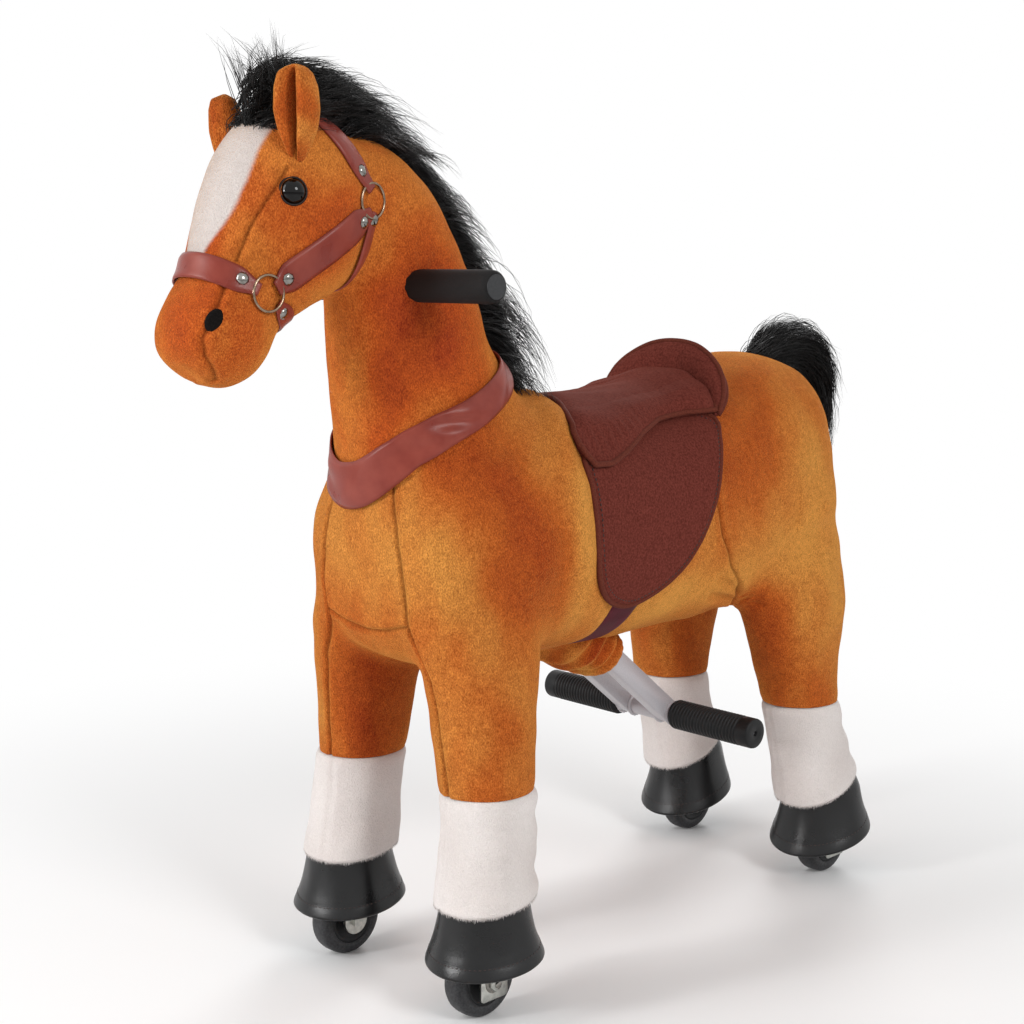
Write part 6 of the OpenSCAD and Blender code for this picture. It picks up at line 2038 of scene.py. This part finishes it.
def coat(rows, count, each, length, lift, seed):
    """Tufts that lie along a lofted core: roots on its skin, the rest farther along the same line of the loft."""
    rng = np.random.default_rng(seed)
    grid = np.array([ring(row, COAT_SIDES) for row in rows])
    middle = grid.mean(1)
    way = walked(middle)
    start = rng.uniform(-0.02, 0.97, count) * way[-1]
    column = rng.integers(0, COAT_SIDES, count)
    size = length * rng.uniform(0.7, 1.15, count)
    end = unit(middle[-1] - middle[-2])

    def lying(at, off):
        low_ = np.clip(np.searchsorted(way, at) - 1, 0, len(rows) - 2)
        share = np.clip((at - way[low_]) / (way[low_ + 1] - way[low_]), 0, 1)[:, None]
        spot = grid[low_, column] * (1 - share) + grid[low_ + 1, column] * share
        out = unit(spot - middle[low_] * (1 - share) - middle[low_ + 1] * share)
        return spot + off[:, None] * out + np.clip(at - way[-1], 0, None)[:, None] * end

    loose = lift * rng.uniform(0.2, 1.0, count) + lift * 2.6 * rng.uniform(0, 1, count) ** 3
    middles, tips = lying(start + 0.5 * size, 0.45 * loose), lying(start + size, loose)
    return tufts(lying(start, 0 * size - 1), middles, tips, each, spread=2.2, seed=seed + 1)


# %% [markdown]
# ## Mane and forelock
# The mane is a strip of fur along the crest of the neck. A dark core keeps light from shining through, a coat of tufts
# lies along it, and longer tufts grow from the skin under the crest; the forelock's tufts fall back over the poll.

# %% Crest of the neck
CREST = np.array([
    [-450, 836], [-438, 850], [-415, 862], [-385, 862], [-350, 850], [-310, 828], [-275, 802], [-240, 772], [-212, 738],
    [-192, 700], [-172, 660], [-158, 625], [-150, 604],
], float)


def crest_frame(t):
    """Places along the crest in the side view, the way it runs there and the way out of the neck."""
    spot = along_curve(CREST, t)
    run = along_curve(CREST, np.clip(t + 0.02, 0, 1)) - along_curve(CREST, np.clip(t - 0.02, 0, 1))
    run = unit(run)
    return spot, run, np.stack([-run[:, 1], run[:, 0]], 1)


def crest_roots(t, x):
    """Roots on the skin under the crest's line."""
    spot, run, out = crest_frame(t)
    roots = np.zeros((len(t), 3))
    for i in range(len(t)):
        high = np.array([x[i], spot[i, 0] + 60 * out[i, 0], spot[i, 1] + 60 * out[i, 1]])
        hit = shot(face_tree, high, (0, -out[i, 0], -out[i, 1]))
        missed = hit is None or np.linalg.norm(hit - high) > 100
        roots[i] = np.array([x[i], *spot[i]]) if missed else hit
    roots[:, 1:] -= 1.5 * out
    return roots, run, out


# %% Tufts of mane and forelock
MANE_LENGTH = [[0.1, 0.22, 0.35, 0.5, 0.65, 0.8, 0.9, 1], [66, 82, 58, 44, 66, 98, 90, 66]]


def mane(count, each, seed):
    """Tufts from the crest, which lie back along the neck."""
    rng = np.random.default_rng(seed)
    t = rng.uniform(0.12, 1, count)
    x = (rng.normal(0, 1, count) * 10).clip(-22, 22)
    roots, run, out = crest_roots(t, x)
    length = np.interp(t, *MANE_LENGTH) * rng.uniform(0.7, 1.12, count)
    lift = rng.uniform(0.7, 1.3, count)
    side_ = 0.02 * x + rng.normal(0, 0.1, count)

    def flow(along_, away, drop):
        y = away * lift * out[:, 0] + along_ * run[:, 0]
        z = away * lift * out[:, 1] + along_ * run[:, 1] - drop
        return length[:, None] * np.stack([side_ * (along_ + 0.2), y, z], 1)

    return tufts(roots, roots + flow(0.36, 0.34, 0.0), roots + flow(0.86, 0.36, 0.1), each, spread=3.2, seed=seed + 1)


FORELOCK_TOP = 908


def forelock(count, each, seed):
    """Tufts between the ears; a few wisps stand up."""
    rng = np.random.default_rng(seed)
    t = rng.uniform(0, 0.17, count)
    x = (rng.normal(4, 1, count) + rng.normal(0, 12, count)).clip(-24, 30)
    roots = crest_roots(t, x)[0]
    roots[:, 1:] -= [0, 1.0]
    wisp = rng.uniform(0, 1, count) < 0.06
    back = np.where(wisp, rng.normal(-4, 24, count), rng.normal(48, 12, count) * (1 - 2 * t))
    up = np.where(wisp, rng.normal(60, 10, count), rng.normal(9, 6, count)) + 40 * (0.08 - t)
    sway = x * 0.35 + rng.normal(3, 9, count) + np.where(wisp, rng.normal(0, 14, count), 0)
    tips = roots + np.stack([sway, back, up], 1)
    middles = roots + np.stack([0.35 * sway, 0.3 * back - 5, 0.62 * up], 1)
    tips[:, 2] = np.minimum(tips[:, 2], FORELOCK_TOP)
    return tufts(roots, middles, tips, each, spread=3.0, seed=seed + 1)


# %% Mane and forelock
MANE = [
    [0, 0, 0, 320, 0.217, 0.217, 0.217, 2], [0, 0.052, 0.118, 316, 0.37, 0.348, 0.326, 2],
    [0, 0.143, 0.2, 285, 0.478, 0.522, 0.478, 2], [0, 0.279, 0.195, 264, 0.5, 0.565, 0.522, 2],
    [0, 0.425, 0.109, 246, 0.478, 0.565, 0.565, 2], [0, 0.578, -0.032, 227, 0.457, 0.522, 0.565, 2],
    [0, 0.727, -0.245, 216, 0.435, 0.478, 0.565, 2], [0, 0.844, -0.518, 205, 0.413, 0.435, 0.7, 2],
    [0, 0.935, -0.805, 202, 0.4, 0.391, 0.85, 2], [0, 1.02, -0.98, 205, 0.3, 0.239, 0.7, 2],
]
MANE_R, TAIL_R = 0.42, 0.45
core_rows = form_rows(MANE, [0, HEAD_Y * 1.169, HEAD_Z * 1.0648], [46, 308, 220, 46])
core_rows[:, 4:7] *= 0.72
mane_core = make("mane_core", *loft(finer(core_rows[2:], 6), 32), HAIR)
mane_coat = strands("mane_coat", *coat(finer(core_rows[1:], 6), 420, 11, length=54, lift=5.0, seed=57), MANE_R, HAIR)
mane_piece = join("mane_hair", [strands("mane_strands", *mane(560, 11, seed=51), MANE_R, HAIR), mane_core])
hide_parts("mane")
for piece in (mane_piece, mane_coat):
    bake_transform(piece)
forelock_piece = strands("forelock_hair", *forelock(330, 11, seed=55), MANE_R, HAIR)
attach(forelock_piece, "steering")
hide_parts("mane")

# %% [markdown]
# ## Tail
# The tail arches up from the rump and hangs. It has a core and a coat as the mane has, and loose tufts round them.

# %% Tufts of the tail
TAIL = np.array([
    [246, 592], [284, 604], [328, 615], [364, 608], [387, 582], [397, 548], [400, 512], [397, 484], [394, 462],
], float)


def tail(count, each, seed):
    """Tufts round the tail's line, whose tips lie farther along it."""
    rng = np.random.default_rng(seed)
    t = rng.beta(1.0, 1.35, count) * 0.72
    spot = along_curve(TAIL, t)
    half, end = along_curve(TAIL, t + 0.13), along_curve(TAIL, t + 0.27)
    run = unit(along_curve(TAIL, t + 0.02) - spot)
    around = rng.uniform(0, 2 * math.pi, count)
    near = np.sqrt(rng.uniform(0, 1, count))
    outside = np.stack([-run[:, 1], run[:, 0]], 1)
    thick = np.interp(t, [0, 0.15, 0.4, 0.8], [15, 23, 25, 14])

    def ring_at(at, radius):
        lean = (radius * near * np.sin(around))[:, None]
        return np.column_stack([radius * near * np.cos(around), at + lean * outside])

    roots, middles = ring_at(spot, thick * 0.55), ring_at(half, thick * 1.15)
    tips = ring_at(end, thick * 1.35) + rng.normal(0, 4, (count, 3))
    return tufts(roots, middles, tips, each, spread=2.0, seed=seed + 1)


# %% Tail
TAIL_FORM = [
    [0, 0, 0, 0, 0.25, 0.25, 0.25, 2], [0, 0.242, 0.188, -40, 0.357, 0.357, 0.357, 2],
    [0, 0.558, 0.25, -75, 0.446, 0.393, 0.393, 2], [0, 0.842, 0.125, -130, 0.5, 0.411, 0.411, 2],
    [0, 0.975, -0.172, -165, 0.5, 0.411, 0.411, 2], [0, 0.992, -0.484, -178, 0.429, 0.339, 0.339, 2],
    [0, 0.975, -0.75, -180, 0.214, 0.196, 0.196, 2],
]
core_rows = form_rows(TAIL_FORM, [0, 0.932 * BARREL_L + CHEST_Y, BELLY_Z + 0.946 * BARREL_H], [56, 120, 128, 56])
core_rows[:, 4:7] *= 0.62
core_rows[:, 1:3] -= [8, 4]
tail_core = make("tail_core", *loft(finer(core_rows, 6), 28), HAIR)
tail_coat = strands("tail_coat", *coat(finer(core_rows, 6), 480, 12, length=74, lift=6.0, seed=63), TAIL_R, HAIR)
tail_piece = join("tail_hair", [strands("tail_strands", *tail(420, 12, seed=61), TAIL_R, HAIR), tail_core])
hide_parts("tail")
for piece in (tail_piece, tail_coat):
    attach(piece, "rear")


# %% [markdown]
# ## Fringes
# Where the sock ends on the hoof its pile hangs over the edge, so short strands of the hair's tree grow along the hem.


# %% Fringes of the socks
FRINGE_L, FRINGE_COUNT, FRINGE_R = 3.2, 2800, 0.26


def fringe(body_name, seed):
    """Short strands over the hems of one body's socks."""
    rng = np.random.default_rng(seed)
    roots, reach, bend = [], [], []
    for key, line in sock_hems.items():
        if LEGS[key][3] != body_name:
            continue
        at = rng.uniform(0, len(line), FRINGE_COUNT)
        low_, share = at.astype(int) % len(line), (at % 1)[:, None]
        spot = line[low_] * (1 - share) + line[(low_ + 1) % len(line)] * share
        out = unit((spot - line.mean(0)) * [1, 1, 0])
        size = (FRINGE_L * rng.uniform(0.6, 1.25, FRINGE_COUNT))[:, None]
        rise = rng.uniform(0, 1, FRINGE_COUNT)[:, None]
        roots.append(spot + [0, 0, 1] * (4.5 * rise) - 0.4 * out)
        reach.append((out * 0.32 + [0, 0, -0.9]) * size + rng.normal(0, 0.12, (FRINGE_COUNT, 3)) * size)
        bend.append((-0.2 * out + [0, 0, -0.15]) * size)
    roots, reach, bend = np.vstack(roots), np.vstack(reach), np.vstack(bend)
    made = strands(body_name + "_sock_fringe", roots, reach, bend, 0 * roots, FRINGE_R, WHITE_PLUSH, 2)
    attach(made, body_name)


for body_name in ("front", "rear"):
    fringe(body_name, seed=71)

# %% [markdown]
# ## Studio
# A pale floor and soft light from above and from the left, as in a catalogue picture. Large area lamps give the long
# soft highlights on hooves and hair, and the plain white world fills the shadows.

# %% Camera
AZIMUTH, PITCH = math.radians(46.025), math.radians(8.575)
CAMERA_AT = to_frame([1203.05, -1281.74, 713.69])
look = Vector((-math.sin(AZIMUTH) * math.cos(PITCH), math.cos(AZIMUTH) * math.cos(PITCH), -math.sin(PITCH)))
camera_data = bpy.data.cameras.new("camera")
camera_data.lens, camera_data.sensor_width = 58.0, 36.0
camera_data.clip_end = 50
camera = bpy.data.objects.new("camera", camera_data)
camera.location = CAMERA_AT.tolist()
camera.rotation_mode = "QUATERNION"
camera.rotation_quaternion = look.to_track_quat("-Z", "Y")
bpy.context.scene.collection.objects.link(camera)
bpy.context.scene.camera = camera


# %% Lamps and world
def lamp(name, at, target, wide, tall, power):
    """A soft oval lamp that looks at a target; sizes in metres, power in watts."""
    data = bpy.data.lights.new(name, "AREA")
    data.shape, data.size, data.size_y, data.energy = "ELLIPSE", wide, tall, power
    made = bpy.data.objects.new(name, data)
    made.location = at
    made.rotation_mode = "QUATERNION"
    made.rotation_quaternion = (Vector(target) - Vector(at)).to_track_quat("-Z", "Y")
    bpy.context.scene.collection.objects.link(made)


lamp("key", (-0.9, -2.4, 1.7), (0, 0, 0.45), wide=1.1, tall=2.2, power=27)
lamp("front", (-0.7, -2.6, 1.0), (0, 0, 0.45), wide=0.42, tall=0.5, power=19)
lamp("fill", (2.3, -0.3, 1.7), (0, 0, 0.45), wide=0.9, tall=0.9, power=26)
lamp("back", (-1.2, 2.2, 2.0), (0, 0, 0.5), wide=1.4, tall=1.4, power=26)
world = bpy.data.worlds.new("studio")
bpy.context.scene.world = world
world.use_nodes = True
tree = world.node_tree
sky = tree.nodes["Background"]
sky.inputs["Color"].default_value = (1, 1, 1, 1)
path = add(tree, "ShaderNodeLightPath")
seen = add(
    tree, "ShaderNodeMath", {0: path.outputs["Is Camera Ray"], 1: path.outputs["Is Glossy Ray"]}, operation="MAXIMUM"
)
seen = add(tree, "ShaderNodeMath", {0: seen.outputs[0], 1: path.outputs["Is Transmission Ray"]}, operation="MAXIMUM")
strength = add(tree, "ShaderNodeMapRange", {"Value": seen.outputs[0], 3: 0.46, 4: 1.0})
tree.links.new(strength.outputs["Result"], sky.inputs["Strength"])

# %% Floor
floor_mesh = bpy.data.meshes.new("floor")
FLOOR_HALF = 30
corners = [(FLOOR_HALF * i, FLOOR_HALF * j, 0) for i, j in ((-1, -1), (1, -1), (1, 1), (-1, 1))]
floor_mesh.from_pydata(corners, [], [(0, 1, 2, 3)])
floor = bpy.data.objects.new("floor", floor_mesh)
bpy.context.scene.collection.objects.link(floor)
floor_finish, tree, shader, coords = start_material("pale_floor", Roughness=0.9)
shader.inputs["Base Color"].default_value = (0.92, 0.92, 0.92, 1)
# Seen by the camera, the floor fades to plain white away from the toy, so no horizon shows; near it the shadow stays.
far = add(tree, "ShaderNodeVectorMath", {0: coords}, operation="LENGTH")
fade = add(
    tree, "ShaderNodeMapRange", {"Value": far.outputs["Value"], 1: 0.3, 2: 1.35}, interpolation_type="SMOOTHSTEP"
)
path = add(tree, "ShaderNodeLightPath")
fade = add(
    tree, "ShaderNodeMath", {0: fade.outputs["Result"], 1: path.outputs["Is Camera Ray"]}, operation="MULTIPLY"
)
white = add(tree, "ShaderNodeEmission", {"Color": (1, 1, 1, 1), "Strength": 1.0})
mixed = add(
    tree, "ShaderNodeMixShader",
    {"Fac": fade.outputs[0], 1: shader.outputs["BSDF"], 2: white.outputs["Emission"]},
)
tree.links.new(mixed.outputs["Shader"], tree.nodes["Material Output"].inputs["Surface"])
floor_mesh.materials.append(floor_finish)
floor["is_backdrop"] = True
bpy.context.scene.view_settings.view_transform = "Standard"
print("lamps", len(bpy.data.lights), "lens", camera_data.lens, "mm")

# %% Sizes, and the end
low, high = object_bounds()
print("visual box", [round(v, 3) for v in (*low, *high)])
